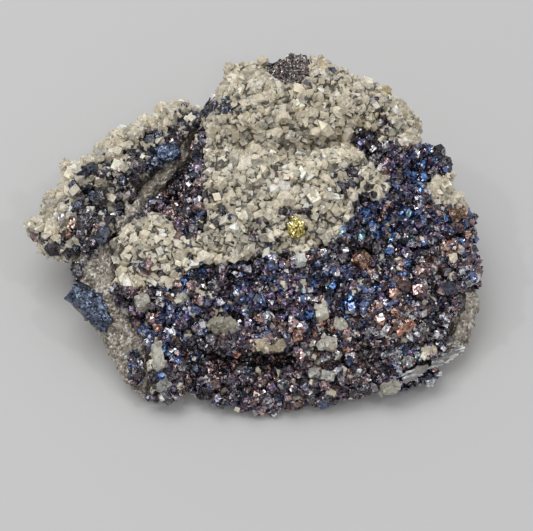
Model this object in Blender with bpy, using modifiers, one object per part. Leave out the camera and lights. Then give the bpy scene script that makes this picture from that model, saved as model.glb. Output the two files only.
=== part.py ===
"""Galena with dolomite: a hand specimen, modelled at its real size.

A block of tan host rock carries thin crusts of small crystals: cream dolomite over the dome
and the ledges, dark galena over the front, the right side and the left wing.  Larger single
crystals, a brassy chalcopyrite cluster and a white calcite sliver sit on or in the crusts.

Every crust is cut from one outer skin around the host.  The borders between the crusts are
drawn as they look from the display side, in millimetres to the right of and above the aim
point, and are carried through the rock as tapering cutters that start at the eye point.

Units: the constants are millimetres, the model is in metres, +Z up.  The origin is the
centre of the bounding box at its bottom, on the flat spot that the specimen rests on.
"""

import math
import random

import bmesh
import bpy
from mathutils import Matrix, Vector, noise
from mathutils.bvhtree import BVHTree

MM = 0.001
SEED = 41

# Display side: where the eye stands, and the point it aims at
EYE_ELEVATION = math.radians(55)
EYE_DISTANCE = 340.0
AIM_POINT = (2.6, -5.7, 12.0)
CUTTER_NEAR = 250.0
CUTTER_FAR = 430.0

# Thicknesses and gaps
CRUST_THICKNESS = 1.7
CRUST_WAVE = 0.4
GAP_TO_HOST = 0.3
GAP_BETWEEN_CRUSTS = 0.4
GAP_ROUND_CRYSTAL = 0.3
POCKET_REACH = 0.5

# Surface making
HOST_VOXEL = 1.3
SKIN_VOXEL = 1.2
HOST_TRIANGLES = 1000
SKIN_TRIANGLES = 1300
LUMP_HEIGHT = 1.1
LUMP_SIZE = 9.0
ROUGH_HEIGHT = 0.45
ROUGH_SIZE = 3.0
ROUGH_START = (7, 3, 5)
CRUST_WAVE_SIZE = 4.0
CRUST_WAVE_START = (1, 9, 2)
GROUND_BOX = ((-60, -60, -9), (60, 60, 0))
WAVE_SIZE = 10.0
WAVE_DIVISIONS = 3
WAVE_HEIGHT = 4.0
BORDER_STEP = 3.0
BORDER_WANDER = 1.2
SHARPEST_MITRE = 0.5
WANDER_SIZE = 1.11
SMALLEST_EDGE = 0.04
NEAR_POCKET = 1.5
SMOOTH_PASSES = 2
FLAT_ANGLES = (9, 7, 5, 3, 1)
LEAST_GAP_TO_HOST = 0.12

# The host rock as overlapping blocks, each the convex hull of its corners (x, y, z)
HOST_BLOCKS = {
    "base": [
        (-15, -23, -1), (12, -24, -1), (27, -18, -1), (34, -8, -1), (33, 5, -1),
        (24, 13, -1), (10, 22, -1), (-8, 21, -1), (-18, 12, -1), (-20, -14, -1),
        (-20, -30, 2), (12, -28, 3), (25, -26, 4), (40, -20, 3), (42, -13, 8),
        (38, 2, 12), (36, 8, 13), (28, 16, 14), (12, 26, 14), (-6, 24, 14), (-17, 14, 12),
    ],
    "front_shoulder": [
        (-9, 11, 22), (-8, 2, 22), (7, 9, 25), (18, 10, 25), (23, 2, 21), (-8, -6, 19),
        (8, -6, 20), (24, -6, 17), (-18, -20, 7), (10, -24, 8), (27, -19, 9), (34, -9, 12),
        (35, 4, 13), (28, 11, 17), (-19, -8, 14),
    ],
    "back_dome": [
        (-9, 23, 20), (-1, 30, 26), (8, 30, 28), (17, 26, 28), (25, 22, 26), (30, 18, 24),
        (-3, 20, 28), (8, 20, 30), (20, 17, 29), (28, 14, 25), (-9, 12, 21), (6, 16, 25),
        (-9, 20, 8), (0, 26, 10), (14, 25, 10), (32, 13, 12), (-4, 8, 12), (28, 6, 12),
    ],
    "left_wing": [
        (-41, 1, 12), (-36, 12, 14), (-29, 19, 16), (-20, 24, 18), (-10, 27, 19),
        (-17, 9, 12), (-27, 8, 12), (-31, -3, 11), (-36, 2, 7), (-31, 11, 7), (-20, 19, 5),
        (-9, 21, 3), (-28, -4, 4), (-18, -8, 2),
    ],
    "left_shelf": [
        (-27, -2, 17), (-20, 6, 16), (-15, -4, 19), (-33, -9, 9), (-33, -4, 11),
        (-25, -12, 11), (-23, -20, 8), (-22, -28, 3), (-15, -26, 5), (-27, -8, 3),
        (-20, -25, 0), (-16, -4, 3), (-17, 8, 6),
    ],
    "right_ridge": [
        (29, 9, 18), (38, 8, 14), (38, 0, 13), (34, -5, 15), (27, -6, 16), (40, -12, 10),
        (25, 2, 18), (31, -14, 10), (31, -8, 4), (38, -4, 4), (31, 8, 4),
    ],
    "right_lump": [
        (30, 12, 21), (37, 15, 18), (35, 10, 17), (32, 17, 18), (34, 14, 11), (28, 13, 12),
        (29, 9, 12),
    ],
}

# Where no crust grows: lower back wall, underside of the wing, foot of the right wall
CRUST_ZONE = [
    (-60, -50, 2), (60, -50, 2), (60, 10, 2), (-60, 10, 2), (60, 50, 38), (-60, 50, 38),
    (-60, -50, 60), (60, -50, 60), (60, 50, 60), (-60, 50, 60),
]
BARE_BLOCKS = {
    "under_wing": ((-60, -13, -6), (-26, 40, 9)),
    "right_foot": ((35, -40, -6), (60, 40, 9)),
}

# Borders of the crusts, seen from the display side (right, up); the first that holds a
# point owns it.  "bare" patches leave the host rock open.
PATCHES = [
    ("galena_patch_top", "galena",
     [(-1, 43), (7, 43), (8, 35), (6, 33), (3, 33), (0, 35)]),
    ("dolomite_crust_main", "dolomite",
     [(-12, 26), (-9, 36), (-2, 42), (9, 42), (16, 39), (23, 35), (30, 30), (34, 24),
      (29, 22), (24, 22), (21, 23), (18, 25), (16, 25), (16, 21), (18, 19), (22, 16),
      (23, 14), (20, 12), (16, 13), (16, 9), (13, 5), (6, 2), (-2, 2), (-5, 1), (-7, 0),
      (-11, 1), (-14, -1), (-17, -4), (-21, -4), (-26, -4), (-28, 0), (-28, 4), (-26, 8),
      (-20, 10), (-18, 8), (-16, 5), (-12, 5), (-11, 9), (-12, 13), (-11, 15)]),
    ("dolomite_crust_right", "dolomite",
     [(29, 14), (30, 16), (34, 17), (38, 17), (42, 13), (41, 10), (34, 11), (31, 11)]),
    ("dolomite_crust_wing", "dolomite",
     [(-48, 9), (-42, 17), (-36, 23), (-31, 28), (-25, 30), (-14, 35), (-12, 32),
      (-14, 29), (-19, 27), (-23, 24), (-25, 21), (-29, 19), (-32, 18), (-36, 14),
      (-38, 9), (-39, 6), (-46, 5)]),
    ("bare_wing_band", "bare",
     [(-13, 26), (-14, 22), (-19, 19), (-23, 15), (-25, 12), (-26, 9), (-29, 5), (-26, 8),
      (-24, 10), (-21, 12), (-18, 15), (-15, 20), (-12, 25)]),
    ("bare_left_face", "bare",
     [(-36, 1), (-29, 4), (-28, -1), (-28, -5), (-25, -9), (-22, -13), (-21, -20),
      (-22, -34), (-48, -34), (-48, 0)]),
    ("bare_right_foot", "bare",
     [(36, -4), (48, -4), (48, -34), (33, -24), (31, -18), (33, -15), (34, -13),
      (35, -10)]),
    ("galena_crust_wing", "galena",
     [(-48, 2), (-42, 20), (-24, 28), (-14, 32), (-12, 29), (-13, 26), (-29, 5), (-32, 4),
      (-36, 1), (-42, 1)]),
    ("galena_crust_flank", "galena",
     [(-13, 33), (-8, 33), (-6, 28), (-9, 4), (-16, 3), (-27, 8), (-24, 10), (-21, 12),
      (-18, 15), (-15, 20), (-12, 25), (-12, 29)]),
    ("galena_crust_main", "galena",
     [(17, 28), (46, 30), (48, -34), (-30, -34), (-30, -3), (-10, -1), (-4, 3), (14, 8)]),
]

# Crystals fused to the crusts: smallest and largest size, and the share that is sunk in
GALENA_CRYSTALS = {"size": (2.2, 3.8), "sunk": 0.22}
DOLOMITE_CRYSTALS = {"size": (2.1, 3.4), "sunk": 0.20}
CRYSTAL_SPACING = 6.4
CUT_CORNER_SHARE = 0.3
CUT_CORNER_SIZE = 1.25
RHOMB_LEAN = (0.28, 0.17)
LOWEST_CRYSTAL = 4.5
STEEPEST_NORMAL = -0.5
SPOT_TRIALS = 9000

# Single crystals: name, display place (right, up), size across, upright and deep, turn
DOLOMITE_SINGLES = [
    ("dolomite_crystal_hexagonal", (-22.7, -6.8), (2.6, 2.4, 2.4), 20),
    ("dolomite_crystal_small_left", (-25.8, -7.9), (1.4, 1.4, 1.6), 50),
    ("dolomite_crystal_lobe_foot", (-15.4, -5.7), (2.4, 1.6, 1.8), 10),
    ("dolomite_crystal_tan", (-8.4, -10.8), (4.0, 2.6, 2.0), 15),
    ("dolomite_crystal_brown", (0.6, -14.4), (3.8, 1.8, 1.8), -8),
    ("dolomite_crystal_left_foot", (-19.8, -17.0), (1.8, 4.4, 2.0), 12),
    ("dolomite_crystal_grey_left", (-19.0, -21.8), (2.4, 1.8, 2.2), 35),
    ("dolomite_crystal_centre", (10.2, -8.5), (2.0, 2.4, 2.2), 15),
    ("dolomite_crystal_centre_low", (13.5, -10.9), (1.8, 1.8, 2.0), 30),
    ("dolomite_crystal_pale_low", (11.2, -14.2), (2.6, 1.8, 1.8), 0),
    ("dolomite_crystal_block_1", (8.3, -19.8), (1.8, 1.6, 2.0), 25),
    ("dolomite_crystal_block_2", (10.9, -20.2), (2.4, 1.6, 2.0), -15),
    ("dolomite_crystal_right_foot", (22.4, -22.2), (3.0, 2.0, 2.0), 10),
    ("dolomite_crystal_blue_edge", (6.3, 1.0), (1.7, 1.6, 2.0), 20),
]
GALENA_SINGLES = [
    ("galena_crystal_corner", (-31.6, -7.6), (8.6, 3.8, 4.4), -40),
    ("galena_crystal_wing_blue", (-18.0, 20.6), (3.8, 2.8, 2.6), 15),
    ("galena_crystal_wing_oval", (-33.1, 7.4), (3.0, 3.8, 3.0), -15),
    ("galena_crystal_wing_low", (-31.8, 2.8), (2.6, 2.6, 2.6), 20),
    ("galena_crystal_edge_upper", (-35.0, -0.8), (1.7, 2.8, 2.2), 15),
    ("galena_crystal_edge_lower", (-23.9, -18.6), (2.0, 4.6, 2.6), 5),
    ("galena_crystal_orange", (25.5, -10.7), (2.2, 2.0, 2.0), 20),
    ("galena_crystal_brown", (17.4, 1.1), (2.4, 2.4, 2.2), 40),
    ("galena_crystal_right_edge", (34.6, 9.1), (2.6, 2.2, 2.2), 10),
]
BLUNT_CUBE = (1.15, 0.8)
SINGLE_TILT = 0.5

# Brassy cluster: grains on a spiral, with their smallest and largest size
CHALCOPYRITE_PLACE = (5.4, 6.8)
CHALCOPYRITE_SPREAD = (0.9, 1.3)
CHALCOPYRITE_GRAINS = 7
CHALCOPYRITE_SIZE = (1.1, 1.6)
CHALCOPYRITE_DEPTH = 1.4
SPIRAL_STEP = 2.4

# White sliver
SLIVER_PATH = [(25, -21), (28, -19), (32, -17), (35, -15)]
SLIVER_WIDTH = 1.2

# Finish of each kind: colour, roughness, metallic
FINISHES = {
    "host": ((0.33, 0.29, 0.23, 1), 0.90, 0.0),
    "dolomite": ((0.66, 0.62, 0.50, 1), 0.45, 0.0),
    "galena": ((0.09, 0.085, 0.11, 1), 0.35, 0.8),
    "chalcopyrite": ((0.80, 0.60, 0.16, 1), 0.30, 0.9),
    "calcite": ((0.86, 0.84, 0.80, 1), 0.50, 0.0),
}
PARTS_COLLECTION = "galena_with_dolomite"
CUTTER_COLLECTION = "cutters"


def empty_scene():
    """Removes every object, and makes the two collections."""
    for item in list(bpy.data.objects):
        bpy.data.objects.remove(item)
    for name in (PARTS_COLLECTION, CUTTER_COLLECTION):
        collection = bpy.data.collections.new(name)
        bpy.context.scene.collection.children.link(collection)


def finish_named(kind):
    """Returns the material of one kind of mineral, made on its first use."""
    material = bpy.data.materials.get(kind)
    if material is None:
        colour, roughness, metallic = FINISHES[kind]
        material = bpy.data.materials.new(kind)
        material.use_nodes = True
        shader = material.node_tree.nodes["Principled BSDF"]
        shader.inputs["Base Color"].default_value = colour
        shader.inputs["Roughness"].default_value = roughness
        shader.inputs["Metallic"].default_value = metallic
        material.diffuse_color = colour
    return material


def new_object(name, mesh, collection=CUTTER_COLLECTION):
    """Links a mesh as an object; cutters are drawn as wire and never rendered."""
    item = bpy.data.objects.new(name, mesh)
    bpy.data.collections[collection].objects.link(item)
    if collection == CUTTER_COLLECTION:
        item.hide_render = True
        item.display_type = "WIRE"
    return item


def put_in_order(shape):
    """Sorts a bmesh by place, so that each run meets its elements in the same order."""
    verts = sorted(shape.verts, key=lambda vertex: tuple(vertex.co))
    rank = {vertex: index for index, vertex in enumerate(verts)}
    shape.verts.sort(key=rank.get)
    for sequence in (shape.edges, shape.faces):
        keys = {item: sorted(rank[vertex] for vertex in item.verts) for item in sequence}
        order = {item: index for index, item in enumerate(sorted(keys, key=keys.get))}
        sequence.sort(key=order.get)


def mesh_from(shape, name):
    """Turns a bmesh into a mesh and frees it."""
    mesh = bpy.data.meshes.new(name)
    bmesh.ops.recalc_face_normals(shape, faces=shape.faces)
    put_in_order(shape)
    shape.to_mesh(mesh)
    shape.free()
    return mesh


def apply_modifiers(item):
    """Replaces an object's mesh by its evaluated one and clears its modifiers."""
    graph = bpy.context.evaluated_depsgraph_get()
    mesh = bpy.data.meshes.new_from_object(item.evaluated_get(graph))
    item.modifiers.clear()
    item.data = mesh


def hull_shape(points):
    """Returns the convex hull of some points, in millimetres, as a bmesh in metres."""
    shape = bmesh.new()
    for point in points:
        shape.verts.new(Vector(point) * MM)
    result = bmesh.ops.convex_hull(shape, input=shape.verts)
    loose = [v for v in result["geom_interior"] if isinstance(v, bmesh.types.BMVert)]
    bmesh.ops.delete(shape, geom=loose, context="VERTS")
    return shape


def hull_object(name, points):
    """Makes a cutter object from the convex hull of some points."""
    return new_object(name, mesh_from(hull_shape(points), name))


def box_object(name, low, high):
    """Makes a cutter box between two corners."""
    corners = [(x, y, z) for x in (low[0], high[0])
               for y in (low[1], high[1]) for z in (low[2], high[2])]
    return hull_object(name, corners)


def is_closed(item):
    """Says whether every edge of an object has two faces, and no vertex joins two sheets."""
    shape = bmesh.new()
    shape.from_mesh(item.data)
    closed = all(len(edge.link_faces) == 2 for edge in shape.edges)
    closed = closed and all(vertex.is_manifold for vertex in shape.verts)
    shape.free()
    return closed


def combine(item, cutter, operation, meets_itself=False):
    """Applies one Boolean: exact, or with the manifold solver where that leaves an edge open."""
    before = item.data.copy()
    for solver in ("EXACT", "MANIFOLD"):
        item.data = before.copy()
        step = item.modifiers.new(operation.lower(), "BOOLEAN")
        step.solver = solver
        step.operation = operation
        step.object = cutter
        if solver == "EXACT":
            step.use_self = meets_itself
        apply_modifiers(item)
        if is_closed(item):
            break
    shape = bmesh.new()
    shape.from_mesh(item.data)
    put_in_order(shape)
    shape.to_mesh(item.data)
    shape.free()


def may_collapse(edge):
    """Says whether an edge can shrink to a point with the surface still whole."""
    near = [{e.other_vert(v) for e in v.link_edges} for v in edge.verts]
    return len(near[0] & near[1]) == 2


def tidy_mesh(item):
    """Triangulates, and collapses the shortest edges that cuts leave."""
    shape = bmesh.new()
    shape.from_mesh(item.data)
    put_in_order(shape)
    bmesh.ops.triangulate(shape, faces=shape.faces)
    put_in_order(shape)
    for edge in list(shape.edges):
        if edge.is_valid and edge.calc_length() < SMALLEST_EDGE * MM and may_collapse(edge):
            middle = (edge.verts[0].co + edge.verts[1].co) / 2
            bmesh.ops.pointmerge(shape, verts=list(edge.verts), merge_co=middle)
    shape.to_mesh(item.data)
    shape.free()


def merge_flat_faces(item):
    """Joins neighbouring triangles that lie almost in one plane, and triangulates.

    Takes the widest of the angles that leaves the surface whole.
    """
    before = item.data.copy()
    for angle in FLAT_ANGLES:
        shape = bmesh.new()
        shape.from_mesh(before)
        bmesh.ops.dissolve_limit(shape, angle_limit=math.radians(angle),
                                 verts=shape.verts, edges=shape.edges)
        put_in_order(shape)
        bmesh.ops.triangulate(shape, faces=shape.faces)
        shape.to_mesh(item.data)
        shape.free()
        tidy_mesh(item)
        if is_closed(item):
            return
    item.data = before


def keep_largest_body(item):
    """Deletes every loose body of an object but the one with the most vertices."""
    shape = bmesh.new()
    shape.from_mesh(item.data)
    body_of = {}
    sizes = []
    for start in shape.verts:
        if start in body_of:
            continue
        body_of[start] = len(sizes)
        sizes.append(0)
        front = [start]
        while front:
            here = front.pop()
            sizes[-1] += 1
            for edge in here.link_edges:
                other = edge.other_vert(here)
                if other not in body_of:
                    body_of[other] = body_of[start]
                    front.append(other)
    largest = sizes.index(max(sizes))
    loose = [vertex for vertex in shape.verts if body_of[vertex] != largest]
    bmesh.ops.delete(shape, geom=loose, context="VERTS")
    shape.to_mesh(item.data)
    shape.free()


def remesh(item, voxel, triangles=None):
    """Wraps an object in one even skin, then thins it to about a number of triangles."""
    step = item.modifiers.new("remesh", "REMESH")
    step.mode = "VOXEL"
    step.voxel_size = voxel * MM
    apply_modifiers(item)
    if triangles:
        tidy_mesh(item)
        thin = item.modifiers.new("thin", "DECIMATE")
        thin.ratio = triangles / len(item.data.polygons)
        thin.use_collapse_triangulate = True
        apply_modifiers(item)


def push_out(item, height):
    """Moves each vertex along its normal by height(point), both in millimetres."""
    mesh = item.data
    moves = [v.normal * height(v.co / MM) * MM for v in mesh.vertices]
    for vertex, move in zip(mesh.vertices, moves):
        vertex.co += move
    mesh.update()


def rock_relief(point):
    """Height of the broken rock's lumps and steps at a point."""
    lumps = noise.noise(point / LUMP_SIZE)
    rough = noise.noise(point / ROUGH_SIZE + Vector(ROUGH_START))
    return LUMP_HEIGHT * lumps + ROUGH_HEIGHT * rough


def crust_relief(point):
    """Thickness of the outer skin over the host rock at a point."""
    wave = noise.noise(point / CRUST_WAVE_SIZE + Vector(CRUST_WAVE_START))
    return CRUST_THICKNESS + CRUST_WAVE * wave


def make_host():
    """Returns the host rock, standing on its flat spot, and the skin around it."""
    host = None
    for name, corners in HOST_BLOCKS.items():
        block = hull_object(name, corners)
        if host is None:
            host = block
        else:
            combine(host, block, "UNION")
            bpy.data.objects.remove(block)
    remesh(host, HOST_VOXEL)
    smooth = host.modifiers.new("smooth", "SMOOTH")
    smooth.iterations = SMOOTH_PASSES
    apply_modifiers(host)
    push_out(host, rock_relief)
    skin = new_object("skin", host.data.copy())
    push_out(skin, crust_relief)
    remesh(skin, SKIN_VOXEL, SKIN_TRIANGLES)
    remesh(host, HOST_VOXEL, HOST_TRIANGLES)
    ground = box_object("ground", *GROUND_BOX)
    combine(host, ground, "DIFFERENCE")
    tidy_mesh(host)
    keep_largest_body(host)
    host.name = "host_rock"
    return host, skin


def wavy(cutter):
    """Gives a cutter wavy faces, so that the edge it leaves isn't a straight line."""
    divide = cutter.modifiers.new("divide", "SUBSURF")
    divide.subdivision_type = "SIMPLE"
    divide.levels = WAVE_DIVISIONS
    divide.render_levels = WAVE_DIVISIONS
    apply_modifiers(cutter)
    push_out(cutter, lambda point: WAVE_HEIGHT * noise.noise(point / WAVE_SIZE))
    tidy_mesh(cutter)
    return cutter


def limit_skin(skin):
    """Takes the skin away where the host rock is bare."""
    combine(skin, wavy(hull_object("crust_zone", CRUST_ZONE)), "INTERSECT")
    for name, (low, high) in BARE_BLOCKS.items():
        combine(skin, wavy(box_object(name, low, high)), "DIFFERENCE")
    tidy_mesh(skin)


def eye_matrix():
    """Returns the frame of the eye: right, up and backwards, in metres."""
    turn = Matrix.Rotation(math.pi / 2 - EYE_ELEVATION, 4, "X")
    back = turn @ Vector((0, 0, EYE_DISTANCE * MM))
    return Matrix.Translation(Vector(AIM_POINT) * MM + back) @ turn


def seen_place(point):
    """Returns where a point in metres appears from the display side, (right, up)."""
    local = eye_matrix().inverted() @ Vector(point)
    scale = EYE_DISTANCE / -local.z
    return Vector((local.x * scale, local.y * scale))


def ragged(outline):
    """Adds wandering points along an outline, so that a border isn't a straight line."""
    points = []
    count = len(outline)
    for index in range(count):
        start = Vector(outline[index])
        end = Vector(outline[(index + 1) % count])
        run = end - start
        steps = max(1, round(run.length / BORDER_STEP))
        side = Vector((-run.y, run.x)).normalized()
        for step in range(steps):
            point = start + run * step / steps
            if step:
                wander = noise.noise(Vector((point.x, point.y, SEED)) / WANDER_SIZE)
                point += side * wander * BORDER_WANDER
            points.append(point)
    return points


def offset(outline, distance):
    """Moves an outline's sides outwards by a distance, or inwards if it is negative."""
    count = len(outline)
    area = sum(a.x * b.y - b.x * a.y for a, b in zip(outline, outline[1:] + outline[:1]))
    sign = 1 if area > 0 else -1
    moved = []
    for index in range(count):
        before = (outline[index] - outline[index - 1]).normalized()
        after = (outline[(index + 1) % count] - outline[index]).normalized()
        first = Vector((before.y, -before.x)) * sign
        second = Vector((after.y, -after.x)) * sign
        middle = (first + second).normalized()
        reach = distance / max(SHARPEST_MITRE, middle.dot(first))
        moved.append(outline[index] + middle * reach)
    return moved


def border_cutter(name, outline):
    """Carries an outline seen from the display side through the rock, as a tapering solid."""
    shape = bmesh.new()
    ring = [shape.verts.new((point.x * MM, point.y * MM, 0)) for point in outline]
    face = shape.faces.new(ring)
    extruded = bmesh.ops.extrude_face_region(shape, geom=[face])
    far = {v for v in extruded["geom"] if isinstance(v, bmesh.types.BMVert)}
    for vertex in shape.verts:
        depth = CUTTER_FAR if vertex in far else CUTTER_NEAR
        vertex.co *= depth / EYE_DISTANCE
        vertex.co.z = -depth * MM
    put_in_order(shape)
    bmesh.ops.triangulate(shape, faces=shape.faces)
    shape.transform(eye_matrix())
    return new_object(name, mesh_from(shape, name))


def cuboctahedron(size):
    """Returns the corners of a cube whose corners are cut to the middles of its edges."""
    half = size / 2
    pairs = [(a, b) for a in (-half, half) for b in (-half, half)]
    corners = []
    for a, b in pairs:
        corners += [(a, b, 0), (a, 0, b), (0, a, b)]
    return [Vector(corner) for corner in corners]


def cube(size):
    """Returns the corners of a cube."""
    half = size / 2
    signs = (-half, half)
    return [Vector((x, y, z)) for x in signs for y in signs for z in signs]


def rhomb(size):
    """Returns the corners of a cleavage rhomb, a cube pushed over along two axes."""
    return [Vector((c.x + RHOMB_LEAN[0] * c.z, c.y + RHOMB_LEAN[1] * c.z, c.z))
            for c in cube(size)]


def random_turn(rng):
    """Returns an even random rotation."""
    return Matrix.Rotation(rng.uniform(0, 2 * math.pi), 3, "Z") @ (
        Matrix.Rotation(math.acos(rng.uniform(-1, 1)), 3, "X")) @ (
        Matrix.Rotation(rng.uniform(0, 2 * math.pi), 3, "Z"))


def crystal_points(kind, size, rng):
    """Returns the corners of one small crystal of a kind, about its centre."""
    if kind == "dolomite":
        corners = rhomb(size)
    elif rng.random() < CUT_CORNER_SHARE:
        corners = cuboctahedron(size * CUT_CORNER_SIZE)
    else:
        corners = cube(size)
    turn = random_turn(rng)
    return [turn @ corner for corner in corners]


def owner_of(place, borders):
    """Returns the name of the first patch whose border holds a display place."""
    for name, outline in borders.items():
        inside = False
        for a, b in zip(outline, outline[1:] + outline[:1]):
            if (a.y > place.y) != (b.y > place.y):
                if place.x < a.x + (b.x - a.x) * (place.y - a.y) / (b.y - a.y):
                    inside = not inside
        if inside:
            return name
    return None


def scatter_spots(skin, spacing, rng):
    """Returns points and normals spread over the skin, no two closer than a spacing."""
    mesh = skin.data
    mesh.calc_loop_triangles()
    triangles = [t for t in mesh.loop_triangles
                 if t.normal.z > STEEPEST_NORMAL and t.center.z > LOWEST_CRYSTAL * MM]
    weights = [t.area for t in triangles]
    spots = []
    for triangle in rng.choices(triangles, weights, k=SPOT_TRIALS):
        a, b, c = (mesh.vertices[index].co for index in triangle.vertices)
        u, v = sorted((rng.random(), rng.random()))
        point = a * u + b * (v - u) + c * (1 - v)
        if all((point - other).length > spacing * MM for other, _ in spots):
            spots.append((point, triangle.normal.copy()))
    return spots


def grow_crystals(name, kind, spots, rng):
    """Makes the small crystals of one crust as one object; they may overlap."""
    habit = DOLOMITE_CRYSTALS if kind == "dolomite" else GALENA_CRYSTALS
    shape = bmesh.new()
    for point, normal in spots:
        size = rng.uniform(*habit["size"])
        centre = point / MM - normal * size * habit["sunk"]
        corners = [centre + corner for corner in crystal_points(kind, size, rng)]
        crystal = hull_shape(corners)
        mesh = mesh_from(crystal, "crystal")
        shape.from_mesh(mesh)
        bpy.data.meshes.remove(mesh)
    return new_object(name, mesh_from(shape, name))


def make_crust(name, kind, skin, spots, host_grown, earlier, borders, rng):
    """Cuts one crust, with its crystals, out of the skin around the host rock."""
    crust = new_object(name, skin.data.copy(), PARTS_COLLECTION)
    combine(crust, border_cutter(name + "_border", offset(borders[name], 0)), "INTERSECT")
    crystals = grow_crystals(name + "_crystals", kind, spots, rng)
    combine(crust, crystals, "UNION", meets_itself=True)
    inner = offset(borders[name], -GAP_BETWEEN_CRUSTS / 2)
    combine(crust, border_cutter(name + "_inner", inner), "INTERSECT")
    for other in earlier:
        outer = offset(borders[other], GAP_BETWEEN_CRUSTS / 2)
        combine(crust, border_cutter(name + "_" + other, outer), "DIFFERENCE")
    combine(crust, host_grown, "DIFFERENCE")
    tidy_mesh(crust)
    keep_largest_body(crust)
    crust.data.materials.clear()
    crust.data.materials.append(finish_named(kind))
    return crust


def surface_spot(place, surfaces):
    """Returns the point in metres and the normal that a display place looks at.

    A place just past the edge of the rock takes the nearest point of the surface.
    """
    frame = eye_matrix()
    eye = frame.translation
    aim = frame @ Vector((place[0] * MM, place[1] * MM, -EYE_DISTANCE * MM))
    hits = [surface.ray_cast(eye, (aim - eye).normalized()) for surface in surfaces]
    hits = [hit for hit in hits if hit[0] is not None]
    if not hits:
        hits = [surface.find_nearest(aim) for surface in surfaces]
    point, normal, _, _ = min(hits, key=lambda hit: hit[3])
    return point, normal


def single_points(kind, place, sizes, turn, surfaces, rng):
    """Returns the corners of a single crystal that stands on the surface, in mm."""
    point, normal = surface_spot(place, surfaces)
    frame = eye_matrix().to_3x3()
    right, up, back = frame.col
    facing = (normal + back).normalized()
    across = (right - facing * right.dot(facing)).normalized()
    upright = facing.cross(across)
    spin = Matrix.Rotation(math.radians(turn), 3, facing)
    blunt = cuboctahedron(BLUNT_CUBE[0]) + cube(BLUNT_CUBE[1])
    corners = rhomb(1) if kind == "dolomite" else blunt
    tilt = Matrix.Rotation(rng.uniform(-SINGLE_TILT, SINGLE_TILT), 3, "X")
    points = []
    for corner in corners:
        corner = tilt @ corner
        along = (across * corner.x * sizes[0] + upright * corner.y * sizes[1]
                 + facing * corner.z * sizes[2])
        points.append(point / MM + spin @ along)
    return points


def grown_points(points, distance):
    """Moves the corners of a convex crystal away from its centre by a distance."""
    centre = sum(points, Vector()) / len(points)
    return [point + (point - centre).normalized() * distance for point in points]


def cut_pocket(pocket, crusts):
    """Takes a pocket out of every crust whose surface comes near it."""
    margin = NEAR_POCKET * MM
    low = Vector([min(v.co[i] for v in pocket.data.vertices) - margin for i in range(3)])
    high = Vector([max(v.co[i] for v in pocket.data.vertices) + margin for i in range(3)])
    for crust in crusts:
        if any(all(low[i] < v.co[i] < high[i] for i in range(3))
               for v in crust.data.vertices):
            combine(crust, pocket, "DIFFERENCE")
            tidy_mesh(crust)
            keep_largest_body(crust)


def seat_single(name, kind, points, host_grown, crusts):
    """Makes a single crystal and cuts its pocket in the crusts that it stands in."""
    crystal = new_object(name, mesh_from(hull_shape(points), name), PARTS_COLLECTION)
    combine(crystal, host_grown, "DIFFERENCE")
    tidy_mesh(crystal)
    keep_largest_body(crystal)
    crystal.data.materials.append(finish_named(kind))
    pocket = hull_object(name + "_pocket", grown_points(points, POCKET_REACH))
    cut_pocket(pocket, crusts)
    return crystal


def joined_hulls(name, groups):
    """Joins the convex hulls of some groups of points in one object."""
    whole = None
    for index, points in enumerate(groups):
        piece = hull_object("%s_%02d" % (name, index), points)
        if whole is None:
            whole = piece
        else:
            combine(whole, piece, "UNION")
            bpy.data.objects.remove(piece)
    whole.name = name
    return whole


def chalcopyrite_points(surfaces, rng):
    """Returns the corners of each grain of the brassy cluster."""
    grains = []
    for index in range(CHALCOPYRITE_GRAINS):
        angle = index * SPIRAL_STEP
        reach = math.sqrt(index / CHALCOPYRITE_GRAINS)
        place = (CHALCOPYRITE_PLACE[0] + CHALCOPYRITE_SPREAD[0] * reach * math.cos(angle),
                 CHALCOPYRITE_PLACE[1] + CHALCOPYRITE_SPREAD[1] * reach * math.sin(angle))
        size = rng.uniform(*CHALCOPYRITE_SIZE)
        grains.append(single_points("galena", place, (size, size, size * CHALCOPYRITE_DEPTH),
                                    rng.uniform(0, 90), surfaces, rng))
    return grains


def seat_cluster(surfaces, host_grown, crusts, rng):
    """Makes the brassy cluster as one solid and cuts its pocket."""
    grains = chalcopyrite_points(surfaces, rng)
    cluster = joined_hulls("cluster", grains)
    combine(cluster, host_grown, "DIFFERENCE")
    tidy_mesh(cluster)
    keep_largest_body(cluster)
    part = new_object("chalcopyrite_cluster", cluster.data.copy(), PARTS_COLLECTION)
    bpy.data.objects.remove(cluster)
    part.data.materials.append(finish_named("chalcopyrite"))
    everything = [point for points in grains for point in points]
    cut_pocket(hull_object("cluster_pocket", grown_points(everything, POCKET_REACH)), crusts)
    return part


def sliver_runs(surfaces, width):
    """Returns the corners of each straight run of the white sliver, in mm."""
    spots = [surface_spot(place, surfaces) for place in SLIVER_PATH]
    rings = []
    for index, (point, normal) in enumerate(spots):
        before = spots[max(index - 1, 0)][0]
        after = spots[min(index + 1, len(spots) - 1)][0]
        along = (after - before).normalized()
        side = along.cross(normal).normalized() * width / 2
        out = side.cross(along).normalized() * width / 2
        middle = point / MM
        rings.append([middle + side + out, middle - side + out, middle - side - out,
                      middle + side - out])
    return [first + second for first, second in zip(rings, rings[1:])]


def seat_sliver(surfaces, host_grown, crusts):
    """Makes the white sliver along its path and cuts its groove in the crusts."""
    solid = joined_hulls("sliver", sliver_runs(surfaces, SLIVER_WIDTH))
    combine(solid, host_grown, "DIFFERENCE")
    tidy_mesh(solid)
    keep_largest_body(solid)
    part = new_object("calcite_sliver", solid.data.copy(), PARTS_COLLECTION)
    part.data.materials.append(finish_named("calcite"))
    width = SLIVER_WIDTH + 2 * GAP_ROUND_CRYSTAL
    cut_pocket(joined_hulls("groove", sliver_runs(surfaces, width)), crusts)
    return part


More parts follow.
